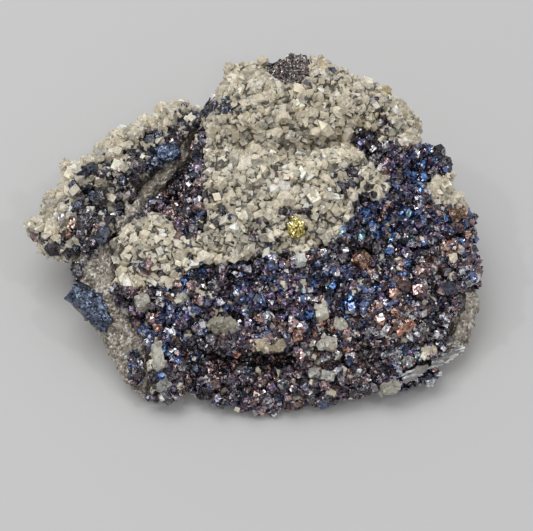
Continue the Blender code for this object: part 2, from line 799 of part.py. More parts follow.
def move_origin_to_base(parts):
    """Shifts every part so that the bounding box stands centred on the origin.

    Returns the way that the origin moved, in metres.
    """
    corners = [v.co for part in parts for v in part.data.vertices]
    low = Vector([min(c[i] for c in corners) for i in range(3)])
    high = Vector([max(c[i] for c in corners) for i in range(3)])
    shift = Vector(((low.x + high.x) / 2, (low.y + high.y) / 2, low.z))
    for part in parts:
        part.data.transform(Matrix.Translation(-shift))
    return shift


def main():
    """Builds the specimen."""
    rng = random.Random(SEED)
    noise.seed_set(SEED)
    empty_scene()
    host, skin = make_host()
    host_grown = new_object("host_grown", host.data.copy())
    push_out(host_grown, lambda point: GAP_TO_HOST)
    limit_skin(skin)
    borders = {name: ragged(outline) for name, _, outline in PATCHES}
    spots = {name: [] for name in borders}
    for point, normal in scatter_spots(skin, CRYSTAL_SPACING, rng):
        owner = owner_of(seen_place(point), borders)
        if owner:
            spots[owner].append((point, normal))

    crusts = {}
    earlier = []
    for name, kind, _ in PATCHES:
        if kind != "bare":
            crusts[name] = make_crust(name, kind, skin, spots[name], host_grown, earlier,
                                      borders, rng)
        earlier.append(name)

    parts = [host] + list(crusts.values())
    graph = bpy.context.evaluated_depsgraph_get()
    surfaces = [BVHTree.FromObject(part, graph) for part in parts]
    for kind, singles in (("dolomite", DOLOMITE_SINGLES), ("galena", GALENA_SINGLES)):
        for name, place, sizes, turn in singles:
            points = single_points(kind, place, sizes, turn, surfaces, rng)
            parts.append(seat_single(name, kind, points, host_grown, crusts.values()))
    parts.append(seat_cluster(surfaces, host_grown, [crusts["dolomite_crust_main"]], rng))
    parts.append(seat_sliver(surfaces, host_grown, crusts.values()))

    host_near = new_object("host_near", host.data.copy())
    push_out(host_near, lambda point: LEAST_GAP_TO_HOST)
    for crust in crusts.values():
        merge_flat_faces(crust)
        combine(crust, host_near, "DIFFERENCE")
        tidy_mesh(crust)
        keep_largest_body(crust)
    host.data.materials.append(finish_named("host"))
    bpy.data.collections[CUTTER_COLLECTION].objects.unlink(host)
    bpy.data.collections[PARTS_COLLECTION].objects.link(host)
    host.hide_render = False
    host.display_type = "TEXTURED"
    return move_origin_to_base(parts)


if __name__ == "__main__":
    main()
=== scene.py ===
"""Looks of a galena with dolomite specimen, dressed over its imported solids.

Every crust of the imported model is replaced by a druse: a displaced bed with thousands of small
crystals on it, all in one mesh.  The colour of each crystal is chosen from a named palette, by
where the crystal stands as seen from the display side.  Places on the display side are given
in millimetres to the right of and above the aim point.

Constants are in millimetres unless their name says metres; meshes are in metres, +Z up.
"""

import itertools
import logging
import math
from dataclasses import dataclass, field
from enum import Enum

import bmesh
import bpy
import numpy as np
from mathutils import Matrix, Vector, noise
from mathutils.bvhtree import BVHTree

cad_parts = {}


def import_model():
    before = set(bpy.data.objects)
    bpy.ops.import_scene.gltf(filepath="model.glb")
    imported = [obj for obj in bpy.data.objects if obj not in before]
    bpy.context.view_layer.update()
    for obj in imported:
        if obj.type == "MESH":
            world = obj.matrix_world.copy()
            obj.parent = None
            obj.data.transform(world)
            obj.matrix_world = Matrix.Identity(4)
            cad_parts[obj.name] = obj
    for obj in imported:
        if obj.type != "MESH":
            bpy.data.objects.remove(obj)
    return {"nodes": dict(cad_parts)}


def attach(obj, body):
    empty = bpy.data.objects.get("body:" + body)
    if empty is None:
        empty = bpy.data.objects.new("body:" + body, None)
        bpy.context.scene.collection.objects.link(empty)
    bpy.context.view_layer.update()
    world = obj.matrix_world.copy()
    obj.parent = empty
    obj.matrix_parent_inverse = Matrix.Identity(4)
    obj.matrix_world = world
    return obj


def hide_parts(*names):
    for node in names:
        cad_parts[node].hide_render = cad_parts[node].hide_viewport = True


LOG = logging.getLogger("specimen")
MM = 0.001
SEED = 41

# Crystals whose spacing is above this are large ones, with calmer painted light on their facets
LARGE_SPACING = 1.5
# How strongly small crystals outnumber large ones in a generation
SIZE_BIAS = 1.6
# Size of the patches of like colour, and how loosely a crystal follows them
DRIFT_SIZE = 1.7
DRIFT_SCATTER = 0.16
# Darkest and lightest factor of painted shade on crystals in creases and of painted light on
# crystals on lumps
PAINTED_CREASE_LIGHT_LIMITS = (0.55, 1.2)
# Half width of the corners' reach in habits with cut corners
CUT_HALF = 0.62
# How far a rhomb's top leans to each side, and its height, as shares of its width
RHOMB_SHEAR = (0.30, 0.18)
RHOMB_HEIGHT = 0.85
# Spread of the corners of a crystal about their exact places, as a share of its size
CORNER_FLAW = 0.07
# Lowest and highest place of a bed over its packed crust
BED_HEIGHT = (-2.2, 1.4)
# How far the beds draw back from the bare rib, and the share of its height that bars crystals
RIB_RETREAT = 1.7
RIB_EDGE = 0.4
# Distance that crystals keep from the sliver, besides half of their size
SLIVER_MARGIN = 0.4
# Least height over the floor, as a share of a crystal's size
FLOOR_CLEARANCE = 0.7
# Size of the cells that sort the crystals by place
CELL_SIZE = 2.0
# Factor on the size of accents, the share of it that is sunk, and how much more their place
# on the display side counts than their distance from the eye
ACCENT_SCALE = 0.78
ACCENT_SUNK = 0.1
NEARER_THAN_DEPTH = 8
# Share of a stud's size that is sunk in its crystal
STUD_SUNK = 0.25
# Upright part of the normal below which a face of a single crystal belongs to its foot
FOOT_SLOPE = -0.15

# Photograph's frame
IMAGE_WIDTH_PX = 533
FOCAL_LENGTH_PX = 1862
SENSOR_WIDTH = 36.0
CLIP_METRES = (0.01, 10.0)
LIGHT_TARGET_METRES = (0, 0, 0.01)

# Display side
EYE_ELEVATION_DEG = 55.0
EYE_DISTANCE = 340.0
AIM_POINT = (2.6, -6.34, 12.0)
SKYWARD = np.array((0.0, -math.cos(math.radians(EYE_ELEVATION_DEG)),
                    math.sin(math.radians(EYE_ELEVATION_DEG))))

RGB = tuple[float, float, float]
Place = tuple[float, float]


class Mineral(Enum):
    """Kinds of mineral; the value is the record's material slot."""

    HOST = "host_rock"
    DOLOMITE = "dolomite"
    GALENA = "galena"
    CHALCOPYRITE = "chalcopyrite"
    CALCITE = "calcite"


class Tarnish(Enum):
    """Surface colours of galena, as linear colours."""

    CHARCOAL = (0.110, 0.100, 0.112)
    SLATE = (0.090, 0.100, 0.130)
    SOOT = (0.200, 0.182, 0.170)
    VIOLET_BLACK = (0.115, 0.090, 0.120)
    NAVY = (0.088, 0.108, 0.192)
    BLUE = (0.080, 0.150, 0.330)
    SKY = (0.240, 0.410, 0.700)
    TEAL = (0.150, 0.260, 0.300)
    VIOLET = (0.135, 0.100, 0.165)
    BROWN = (0.210, 0.150, 0.148)
    BRONZE = (0.290, 0.195, 0.165)
    COPPER = (0.560, 0.300, 0.225)
    PINK = (0.640, 0.450, 0.450)
    STEEL = (0.330, 0.340, 0.370)
    SILVER = (0.760, 0.750, 0.770)


class Carbonate(Enum):
    """Surface colours of dolomite, as linear colours."""

    CREAM = (0.690, 0.618, 0.478)
    PALE = (0.770, 0.705, 0.575)
    GREY = (0.500, 0.465, 0.385)
    HONEY = (0.580, 0.450, 0.270)
    WHITE = (0.880, 0.850, 0.780)
    SMOKY = (0.280, 0.260, 0.210)


@dataclass(frozen=True)
class Zone:
    """A stretch of the surface where some colours are more common.

    Attributes:
        place: Centre on the display side, right and up.
        radius: Reach across and upright.
        shares: Weight that each colour gains at the centre.
    """

    place: Place
    radius: tuple[float, float]
    shares: dict[Enum, float]

    def weight(self, places: np.ndarray) -> np.ndarray:
        """Returns how strongly the zone acts on each display place.

        Args:
            places: Display places, one row each.

        Returns:
            A value from 0 to 1 for each place.
        """
        apart = (places - np.array(self.place)) / np.array(self.radius)
        return np.exp(-np.sum(apart ** 2, axis=1))


@dataclass(frozen=True)
class Fold:
    """A crease or a rib that runs along a line on the display side.

    Attributes:
        path: Its points, right and up.
        width: Half of its width.
        height: How far it stands out; a crease is negative.
    """

    path: tuple[Place, ...]
    width: float
    height: float

    def lift(self, places: np.ndarray) -> np.ndarray:
        """Returns how far the fold moves the surface at each display place.

        Args:
            places: Display places, one row each.

        Returns:
            A height in millimetres for each place.
        """
        nearest = np.full(len(places), np.inf)
        for start, end in zip(self.path, self.path[1:]):
            first = np.array(start)
            run = np.array(end) - first
            along = np.clip((places - first) @ run / (run @ run), 0, 1)
            foot = first + along[:, None] * run
            nearest = np.minimum(nearest, np.linalg.norm(places - foot, axis=1))
        return self.height * np.exp(-(nearest / self.width) ** 2)


FOLDS = (
    Fold(((-5.8, -0.8), (-6.9, -2.5), (-6.8, -6.5), (-5.0, -11.0)), 0.9, -2.0),
    Fold(((-18.0, -9.0), (-11.0, -6.5)), 3.6, 0.9),
    Fold(((-2.5, -4.0), (7.0, -3.5)), 3.6, 1.0),
    Fold(((-10.0, -16.9), (-3.0, -17.4), (4.5, -17.0)), 1.2, -2.0),
    Fold(((-9.5, -13.0), (-2.0, -13.5), (5.0, -13.5)), 2.2, 1.0),
    Fold(((22.0, -9.0), (27.0, -16.0)), 4.0, 0.6),
    Fold(((27.5, 0.5), (28.5, -7.5)), 2.3, 1.0),
    Fold(((31.3, -1.0), (31.0, -9.5)), 0.9, -1.2),
    Fold(((24.0, 3.4), (29.5, 2.9)), 0.9, -1.6),
    Fold(((-9.5, 24.5), (-5.0, 22.8), (0.0, 23.6), (3.5, 22.6)), 2.2, -1.1),
    Fold(((3.5, 22.6), (6.3, 19.8), (8.5, 22.3), (15.0, 23.4)), 1.2, -2.0),
    Fold(((-7.0, 19.0), (0.0, 19.2), (4.4, 17.0)), 2.2, 0.5),
    Fold(((8.6, 18.2), (12.0, 19.8), (16.5, 19.8)), 1.8, 0.8),
    Fold(((20.0, 11.0), (18.5, 16.0)), 1.4, 0.9),
    Fold(((-20.0, 4.0), (-12.0, 1.5)), 3.5, 0.7),
    Fold(((-12.5, 6.0), (-10.5, 10.0)), 1.5, -1.0),
    Fold(((8.0, 8.5), (13.0, 7.0)), 1.4, -0.8),
)

# Bare rib of rock between the wing and the dome: it rises, and the crusts draw back from it
ROCK_RIB = Fold(((-27.0, 7.4), (-22.3, 12.0), (-18.0, 16.0), (-15.0, 20.0)), 1.4, 1.0)

TARNISH_SHARES = {
    Tarnish.CHARCOAL: 3.2, Tarnish.SLATE: 1.0, Tarnish.VIOLET_BLACK: 2.0, Tarnish.NAVY: 0.7,
    Tarnish.BLUE: 0.05, Tarnish.TEAL: 0.03, Tarnish.VIOLET: 0.30, Tarnish.BROWN: 1.4,
    Tarnish.BRONZE: 0.16, Tarnish.COPPER: 0.03, Tarnish.PINK: 0.06, Tarnish.STEEL: 0.50,
    Tarnish.SILVER: 0.12,
}
DULL_SHARES = {
    Tarnish.CHARCOAL: 6.0, Tarnish.SLATE: 3.0, Tarnish.BROWN: 1.2, Tarnish.STEEL: 0.4,
}
WING_SHARES = {
    Tarnish.SLATE: 8.0, Tarnish.CHARCOAL: 7.0, Tarnish.NAVY: 0.8, Tarnish.BROWN: 1.0,
    Tarnish.STEEL: 0.2, Tarnish.PINK: 0.1,
}
PATCH_SHARES = {
    Tarnish.SOOT: 6.0, Tarnish.CHARCOAL: 2.0, Tarnish.BROWN: 1.0,
}
TARNISH_ZONES = (
    Zone((26.9, 16.5), (3.5, 3.5), {Tarnish.BLUE: 3.0, Tarnish.NAVY: 6.0, Tarnish.VIOLET: 1.0}),
    Zone((29.0, 19.0), (3.0, 2.0), {Tarnish.BLUE: 2.0, Tarnish.NAVY: 4.0}),
    Zone((26.0, 8.0), (6.0, 6.0), {Tarnish.NAVY: 6.0, Tarnish.BLUE: 1.0, Tarnish.VIOLET: 1.0}),
    Zone((26.4, 9.8), (1.6, 1.2), {Tarnish.BLUE: 8.0, Tarnish.NAVY: 6.0}),
    Zone((18.0, 10.0), (2.2, 1.8), {Tarnish.BLUE: 4.0, Tarnish.NAVY: 5.0}),
    Zone((17.9, 6.1), (1.2, 1.2), {Tarnish.TEAL: 16.0}),
    Zone((22.5, 4.8), (1.4, 2.0), {Tarnish.BLUE: 4.0, Tarnish.NAVY: 6.0}),
    Zone((15.4, -6.6), (2.8, 2.2), {Tarnish.BLUE: 7.0, Tarnish.NAVY: 8.0}),
    Zone((17.0, -3.5), (6.0, 4.0), {Tarnish.NAVY: 5.0, Tarnish.BLUE: 0.9}),
    Zone((11.0, -2.5), (2.6, 1.6), {Tarnish.BLUE: 4.0}),
    Zone((19.0, -10.0), (2.6, 2.0), {Tarnish.BLUE: 1.6, Tarnish.NAVY: 5.0}),
    Zone((7.6, -9.4), (1.8, 1.2), {Tarnish.BLUE: 5.0, Tarnish.NAVY: 6.0}),
    Zone((0.0, -5.0), (5.0, 5.5), {Tarnish.NAVY: 5.0, Tarnish.VIOLET: 1.8, Tarnish.BLUE: 0.5}),
    Zone((-3.0, -7.5), (2.0, 3.0), {Tarnish.VIOLET: 3.0, Tarnish.NAVY: 4.0}),
    Zone((-15.5, -8.5), (6.0, 6.5), {Tarnish.NAVY: 6.0, Tarnish.BLUE: 0.6, Tarnish.VIOLET: 0.6}),
    Zone((-19.0, -15.0), (3.0, 4.0), {Tarnish.NAVY: 4.0, Tarnish.BLUE: 0.6}),
    Zone((-20.0, -8.0), (2.0, 3.5), {Tarnish.BROWN: 5.0, Tarnish.BRONZE: 2.0, Tarnish.COPPER: 0.6}),
    Zone((6.0, -17.0), (16.0, 6.0), {Tarnish.BROWN: 4.5, Tarnish.PINK: 0.30, Tarnish.BRONZE: 0.6}),
    Zone((5.0, -10.5), (7.0, 2.5), {Tarnish.BRONZE: 1.2, Tarnish.PINK: 0.5, Tarnish.COPPER: 0.3}),
    Zone((22.0, -9.5), (6.0, 4.0), {Tarnish.BRONZE: 1.0, Tarnish.COPPER: 0.3, Tarnish.BROWN: 3.0}),
    Zone((34.0, 2.0), (4.0, 7.0), {Tarnish.BROWN: 4.0, Tarnish.BRONZE: 1.2, Tarnish.COPPER: 0.4}),
    Zone((29.5, -11.0), (4.0, 7.0), {Tarnish.STEEL: 7.0, Tarnish.SILVER: 0.8, Tarnish.NAVY: 1.0}),
    Zone((25.0, -17.0), (5.0, 4.0), {Tarnish.STEEL: 5.0, Tarnish.NAVY: 1.0}),
    Zone((36.0, -2.0), (2.0, 5.0), {Tarnish.STEEL: 4.0, Tarnish.SILVER: 0.6}),
    Zone((-13.0, 22.0), (2.5, 6.0), {Tarnish.BROWN: 3.0, Tarnish.COPPER: 0.3}),
    Zone((-16.0, 9.0), (5.0, 3.0), {Tarnish.BROWN: 3.0, Tarnish.BRONZE: 0.3}),
    Zone((33.5, 19.5), (2.5, 2.5), {Tarnish.CHARCOAL: 8.0}),
)
WING_ZONES = (
    Zone((-34.5, 6.5), (2.6, 1.8), {Tarnish.COPPER: 0.4, Tarnish.BRONZE: 4.0}),
)

CARBONATE_SHARES = {
    Carbonate.CREAM: 6.0, Carbonate.PALE: 2.2, Carbonate.GREY: 0.8, Carbonate.HONEY: 0.05,
    Carbonate.WHITE: 0.15, Carbonate.SMOKY: 0.08,
}
CARBONATE_ZONES = (
    Zone((5.0, 24.0), (12.0, 3.0), {Carbonate.GREY: 3.0, Carbonate.HONEY: 0.3}),
    Zone((-4.0, 8.0), (7.0, 9.0), {Carbonate.GREY: 2.0, Carbonate.SMOKY: 1.0}),
    Zone((6.0, 13.0), (4.0, 5.0), {Carbonate.PALE: 3.0, Carbonate.WHITE: 1.5}),
    Zone((16.0, 22.0), (5.0, 2.0), {Carbonate.HONEY: 2.0}),
    Zone((23.0, 29.0), (3.0, 3.0), {Carbonate.HONEY: 0.6}),
    Zone((-20.0, 2.0), (7.0, 6.0), {Carbonate.PALE: 6.0, Carbonate.CREAM: 4.0}),
    Zone((-33.0, 20.0), (14.0, 6.0), {Carbonate.PALE: 12.0, Carbonate.CREAM: 3.0}),
    Zone((-29.0, 10.0), (9.0, 5.0), {Carbonate.GREY: 14.0, Carbonate.SMOKY: 6.0}),
    Zone((-22.0, 17.0), (6.0, 4.0), {Carbonate.GREY: 14.0, Carbonate.SMOKY: 6.0}),
    Zone((12.0, 6.0), (5.0, 4.0), {Carbonate.GREY: 2.5, Carbonate.SMOKY: 0.6}),
)

# Where dark crystals break through the dolomite, and pale ones through the galena
DARK_SPOTS = (
    Zone((14.5, 14.5), (2.2, 1.4), {Mineral.GALENA: 0.85}),
    Zone((20.0, 13.0), (2.5, 1.5), {Mineral.GALENA: 0.7}),
    Zone((6.5, 9.8), (3.0, 1.3), {Mineral.GALENA: 0.6}),
    Zone((-7.5, 9.0), (2.0, 3.0), {Mineral.GALENA: 0.35}),
    Zone((0.0, 5.0), (5.0, 2.5), {Mineral.GALENA: 0.28}),
    Zone((-10.5, 14.0), (1.5, 2.0), {Mineral.GALENA: 0.5}),
    Zone((-9.0, 29.0), (3.2, 1.5), {Mineral.GALENA: 0.9}),
    Zone((1.0, 17.0), (1.2, 1.8), {Mineral.GALENA: 0.5}),
    Zone((-22.0, -0.5), (2.6, 1.2), {Mineral.GALENA: 0.7}),
    Zone((-11.5, 2.5), (3.0, 1.5), {Mineral.GALENA: 0.3}),
    Zone((21.5, 25.5), (1.5, 1.5), {Mineral.GALENA: 0.6}),
    Zone((28.5, 33.5), (2.0, 0.8), {Mineral.GALENA: 0.6}),
    Zone((12.0, 9.5), (5.0, 4.0), {Mineral.GALENA: 0.16}),
)
PALE_SPOTS = (
    Zone((20.5, 0.5), (1.5, 3.0), {Mineral.DOLOMITE: 0.5}),
    Zone((18.5, -3.0), (2.5, 1.0), {Mineral.DOLOMITE: 0.35}),
    Zone((-11.5, -5.0), (1.5, 0.8), {Mineral.DOLOMITE: 0.7}),
    Zone((10.0, -15.0), (3.0, 1.5), {Mineral.DOLOMITE: 0.5}),
    Zone((29.5, -15.0), (1.0, 2.5), {Mineral.DOLOMITE: 0.4}),
    Zone((-8.0, -10.0), (2.0, 1.8), {Mineral.DOLOMITE: 0.5}),
    Zone((-13.5, -12.5), (1.2, 1.0), {Mineral.DOLOMITE: 0.5}),
    Zone((12.0, -20.5), (5.0, 1.5), {Mineral.DOLOMITE: 0.3}),
    Zone((-11.0, 8.0), (1.2, 2.0), {Mineral.DOLOMITE: 0.6}),
    Zone((-12.5, 24.0), (1.0, 1.0), {Mineral.DOLOMITE: 0.8}),
    Zone((-20.0, -20.0), (1.5, 3.0), {Mineral.DOLOMITE: 0.4}),
)


@dataclass(frozen=True)
class Accent:
    """One crystal of a druse that catches the eye.

    Attributes:
        place: Where it stands on the display side.
        size: Its size.
        colour: Its colour, which also says its mineral.
    """

    place: Place
    size: float
    colour: Enum


GALENA_ACCENTS = (
    Accent((20.7, -9.8), 1.9, Tarnish.COPPER), Accent((30.8, -0.3), 1.6, Tarnish.COPPER),
    Accent((-20.7, -9.5), 1.1, Tarnish.PINK), Accent((-20.0, -11.2), 1.3, Tarnish.COPPER),
    Accent((4.3, -14.2), 1.6, Tarnish.COPPER), Accent((6.1, -11.2), 1.8, Tarnish.PINK),
    Accent((8.9, -12.3), 1.1, Tarnish.COPPER), Accent((23.2, -8.1), 2.0, Tarnish.BRONZE),
    Accent((14.6, -15.4), 1.3, Tarnish.COPPER), Accent((6.6, -16.3), 1.0, Tarnish.PINK),
    Accent((5.4, -3.7), 1.2, Tarnish.PINK), Accent((9.0, -6.1), 1.4, Tarnish.PINK),
    Accent((18.6, -1.5), 2.0, Tarnish.BRONZE), Accent((35.0, 2.9), 1.4, Tarnish.BRONZE),
    Accent((33.4, 2.6), 1.6, Tarnish.BRONZE), Accent((23.5, -5.2), 1.8, Tarnish.BRONZE),
    Accent((28.0, -4.5), 2.4, Tarnish.BROWN), Accent((28.6, -0.8), 2.6, Tarnish.BROWN),
    Accent((25.0, -3.4), 2.2, Tarnish.BROWN), Accent((29.0, -8.0), 2.2, Tarnish.BROWN),
    Accent((15.5, -6.0), 1.4, Tarnish.SKY), Accent((14.7, -7.5), 1.5, Tarnish.BLUE),
    Accent((16.6, -7.2), 1.1, Tarnish.BLUE), Accent((22.7, 4.8), 0.9, Tarnish.SKY),
    Accent((18.2, 9.6), 1.8, Tarnish.BLUE), Accent((25.9, 9.8), 1.5, Tarnish.SKY),
    Accent((17.9, 6.1), 1.8, Tarnish.TEAL), Accent((18.3, -9.8), 0.9, Tarnish.BLUE),
    Accent((7.6, -9.1), 1.8, Tarnish.BLUE), Accent((21.5, -2.5), 1.2, Tarnish.BLUE),
    Accent((12.0, -3.5), 1.4, Tarnish.BLUE), Accent((-10.1, -6.5), 0.8, Tarnish.SKY),
    Accent((-16.0, -9.2), 1.0, Tarnish.SKY), Accent((-13.2, -6.9), 0.8, Tarnish.SKY),
    Accent((-18.8, -15.7), 0.9, Tarnish.SKY), Accent((-17.2, -15.9), 0.8, Tarnish.SKY),
    Accent((-3.6, -13.7), 1.3, Tarnish.PINK), Accent((0.0, -2.3), 0.9, Tarnish.SKY),
    Accent((-5.2, -5.1), 1.0, Tarnish.SILVER), Accent((1.5, -3.0), 0.9, Tarnish.SKY),
    Accent((26.7, 16.2), 1.6, Tarnish.BLUE), Accent((28.6, 18.4), 1.4, Tarnish.BLUE),
    Accent((27.9, 14.6), 1.2, Tarnish.SKY), Accent((21.8, 19.0), 1.2, Tarnish.PINK),
    Accent((-7.3, -6.7), 1.6, Carbonate.GREY), Accent((3.5, -1.2), 1.2, Carbonate.WHITE),
    Accent((28.6, -6.8), 1.3, Carbonate.GREY), Accent((24.0, -0.5), 1.2, Carbonate.PALE),
    Accent((21.0, 1.8), 1.3, Carbonate.GREY), Accent((-12.6, -4.6), 1.5, Carbonate.PALE),
)
DOLOMITE_ACCENTS = (
    Accent((3.1, 14.6), 2.2, Carbonate.WHITE), Accent((4.1, 12.2), 2.7, Carbonate.PALE),
    Accent((1.5, 14.2), 1.8, Carbonate.WHITE), Accent((5.2, 13.6), 1.8, Carbonate.PALE),
    Accent((10.5, 25.4), 2.8, Carbonate.CREAM), Accent((9.2, 24.8), 2.0, Carbonate.CREAM),
    Accent((2.9, 27.1), 2.2, Carbonate.CREAM), Accent((-1.7, 34.7), 2.2, Carbonate.PALE),
    Accent((16.4, 32.8), 2.1, Carbonate.PALE), Accent((-7.9, 26.9), 2.1, Carbonate.CREAM),
    Accent((-2.5, 21.3), 2.1, Carbonate.CREAM), Accent((14.6, 23.7), 1.9, Carbonate.CREAM),
    # The white crystal at (9.5, 22.7) is a painted highlight: a white crystal that stands in for a
    # glint
    Accent((-6.6, 17.8), 1.5, Carbonate.WHITE), Accent((9.5, 22.7), 1.1, Carbonate.WHITE),
    Accent((-6.6, 12.5), 2.0, Carbonate.CREAM), Accent((23.4, 28.6), 1.5, Carbonate.WHITE),
    Accent((9.8, 32.0), 1.2, Carbonate.WHITE), Accent((-11.3, 1.4), 2.3, Carbonate.PALE),
    Accent((-17.8, -3.3), 1.8, Carbonate.PALE), Accent((-25.2, -3.4), 1.9, Carbonate.WHITE),
    Accent((-21.8, -1.1), 1.4, Tarnish.BROWN), Accent((3.4, 26.0), 0.9, Carbonate.HONEY),
    Accent((20.2, 27.4), 0.9, Carbonate.HONEY), Accent((-9.5, 29.6), 1.6, Tarnish.CHARCOAL),
    Accent((-11.5, 28.4), 1.8, Tarnish.CHARCOAL), Accent((20.0, 30.5), 1.2, Tarnish.BROWN),
)
RIGHT_ACCENTS = (
    Accent((35.9, 13.2), 2.2, Carbonate.PALE), Accent((38.0, 13.0), 1.6, Carbonate.CREAM),
    Accent((33.5, 14.5), 1.8, Carbonate.CREAM),
)
WING_ACCENTS = (
    Accent((-33.2, 7.2), 2.4, Tarnish.CHARCOAL), Accent((-30.0, 13.0), 2.2, Tarnish.CHARCOAL),
    Accent((-36.8, 5.6), 1.6, Tarnish.BRONZE), Accent((-35.0, 4.6), 1.2, Tarnish.COPPER),
    Accent((-26.8, 17.4), 1.1, Tarnish.PINK), Accent((-28.0, 16.0), 1.8, Tarnish.CHARCOAL),
    Accent((-24.8, 12.8), 2.0, Tarnish.CHARCOAL), Accent((-24.4, 20.4), 2.2, Tarnish.CHARCOAL),
    Accent((-39.0, 3.0), 2.4, Tarnish.CHARCOAL), Accent((-36.0, 2.4), 2.0, Tarnish.CHARCOAL),
    Accent((-34.2, 10.8), 1.8, Tarnish.SLATE), Accent((-34.8, 3.0), 1.8, Tarnish.SLATE),
    Accent((-21.5, 17.4), 1.6, Tarnish.SLATE), Accent((-29.6, 9.4), 2.0, Tarnish.SLATE),
)


class Habit(Enum):
    """Shapes of small crystals."""

    RHOMB = "rhomb"
    WORN_RHOMB = "worn rhomb"
    CUBE = "cube"
    CUT_CUBE = "cut cube"


@dataclass(frozen=True)
class FacetPlay:
    """Painted light on the facets of one crystal: a random painted brightness for each facet, and
    painted glints.

    Attributes:
        spread: Spread of the painted brightness, as a power of e: painted light and shade, facet by
            facet.
        share: Share of the facets that get a painted glint.
        painted_glint: Colour of the painted glints.
        strength: How much of that colour they take.
    """

    spread: float
    share: float
    painted_glint: RGB
    strength: float

    def colours(self, bases: np.ndarray, facets: int, rng: np.random.Generator) -> np.ndarray:
        """Returns a colour for each facet of each crystal.

        Args:
            bases: The crystals' colours, one row each.
            facets: Number of facets on a crystal.
            rng: Source of the random choices.

        Returns:
            Colours by crystal and facet.
        """
        # Painted light and shade: each facet gets a random brightness
        factor = np.exp(rng.normal(0, self.spread, (len(bases), facets, 1)))
        painted = bases[:, None, :] * factor
        # Painted glints: some facets are blended towards the glint colour
        glint_weight = (rng.random((len(bases), facets, 1)) < self.share) * self.strength
        return painted * (1 - glint_weight) + np.array(self.painted_glint) * glint_weight


# Painted light on facets: spread of brightness, and share, colour and strength of painted glints
METAL_PLAY = FacetPlay(0.45, 0.06, (0.78, 0.76, 0.80), 0.70)
CALM_PLAY = FacetPlay(0.28, 0.02, (0.70, 0.68, 0.72), 0.50)
ACCENT_PLAY = FacetPlay(0.50, 0.08, (0.88, 0.86, 0.88), 0.60)
STONE_PLAY = FacetPlay(0.15, 0.05, (1.00, 0.97, 0.90), 0.60)
BRASS_PLAY = FacetPlay(0.40, 0.22, (1.00, 0.96, 0.72), 0.80)


@dataclass(frozen=True)
class Species:
    """How the small crystals of one mineral look and stand.

    Attributes:
        slot: Number of its material in a druse.
        plain: Shape of its sharp crystals.
        worn: Shape of its worn ones.
        worn_share: Share of the worn ones.
        lean: How far they lean away from the surface's normal.
        play: The painted light and painted glints of its facets.
        accent_play: The same for accents.
        painted_crease_shade: How much crystals in creases are darkened as painted shade, and those
            on lumps lightened as painted light.
    """

    slot: int
    plain: Habit
    worn: Habit
    worn_share: float
    lean: float
    play: FacetPlay
    accent_play: FacetPlay
    painted_crease_shade: float


# The order is that of the druses' materials
SPECIES = {
    Mineral.GALENA: Species(0, Habit.CUBE, Habit.CUT_CUBE, 0.5, 1.5, METAL_PLAY, ACCENT_PLAY,
                            0.28),
    Mineral.DOLOMITE: Species(1, Habit.RHOMB, Habit.WORN_RHOMB, 0.25, 0.85, STONE_PLAY,
                              STONE_PLAY, 0.10),
}


def hull_template(corners: list[Vector]) -> tuple[np.ndarray, np.ndarray, np.ndarray]:
    """Makes the triangles of a convex crystal of size one.

    Args:
        corners: The crystal's corners.

    Returns:
        Corners, one row each; triangles as rows of three corner numbers; and the number of
        the flat facet that each triangle belongs to.
    """
    shape = bmesh.new()
    for corner in corners:
        shape.verts.new(corner)
    bmesh.ops.convex_hull(shape, input=shape.verts)
    bmesh.ops.triangulate(shape, faces=shape.faces)
    shape.verts.index_update()
    points = np.array([tuple(vertex.co) for vertex in shape.verts])
    triangles = np.array([[vertex.index for vertex in face.verts] for face in shape.faces])
    ways = [tuple(round(value, 2) + 0.0 for value in face.normal) for face in shape.faces]
    shape.free()
    facets = np.array([sorted(set(ways)).index(way) for way in ways])
    return points, triangles, facets


def habit_corners(habit: Habit) -> list[Vector]:
    """Returns the corners of a crystal of size one.

    Args:
        habit: The crystal's shape.

    Returns:
        Its corners about the centre.
    """
    if habit in (Habit.CUT_CUBE, Habit.WORN_RHOMB):
        signs = (-CUT_HALF, CUT_HALF)
        flat = [(a, b) for a in signs for b in signs]
        corners = [Vector(c) for a, b in flat for c in ((a, b, 0), (a, 0, b), (0, a, b))]
    else:
        signs = (-0.5, 0.5)
        corners = [Vector((x, y, z)) for x in signs for y in signs for z in signs]
    if habit in (Habit.RHOMB, Habit.WORN_RHOMB):
        corners = [Vector((c.x + RHOMB_SHEAR[0] * c.z, c.y + RHOMB_SHEAR[1] * c.z,
                           c.z * RHOMB_HEIGHT)) for c in corners]
    return corners


class DisplayView:
    """The display side: turns points into display places, and holds the camera."""

    def __init__(self) -> None:
        """Places the eye."""
        turn = Matrix.Rotation(math.pi / 2 - math.radians(EYE_ELEVATION_DEG), 4, "X")
        back = turn @ Vector((0, 0, EYE_DISTANCE * MM))
        self.matrix = Matrix.Translation(Vector(AIM_POINT) * MM + back) @ turn

    def places(self, points: np.ndarray) -> np.ndarray:
        """Returns where points appear on the display side.

        Args:
            points: Points in metres, one row each.

        Returns:
            Display places in millimetres, right and up, one row each.
        """
        inverse = np.array(self.matrix.inverted())
        local = points @ inverse[:3, :3].T + inverse[:3, 3]
        scale = EYE_DISTANCE / -local[:, 2]
        return local[:, :2] * scale[:, None]

    def add_camera(self) -> None:
        """Adds the camera at the photograph's viewing angle."""
        data = bpy.data.cameras.new("display_camera")
        data.sensor_fit = "HORIZONTAL"
        data.sensor_width = SENSOR_WIDTH
        data.lens = FOCAL_LENGTH_PX / IMAGE_WIDTH_PX * SENSOR_WIDTH
        data.clip_start, data.clip_end = CLIP_METRES
        camera = bpy.data.objects.new("display_camera", data)
        camera.matrix_world = self.matrix
        bpy.context.scene.collection.objects.link(camera)
        bpy.context.scene.camera = camera


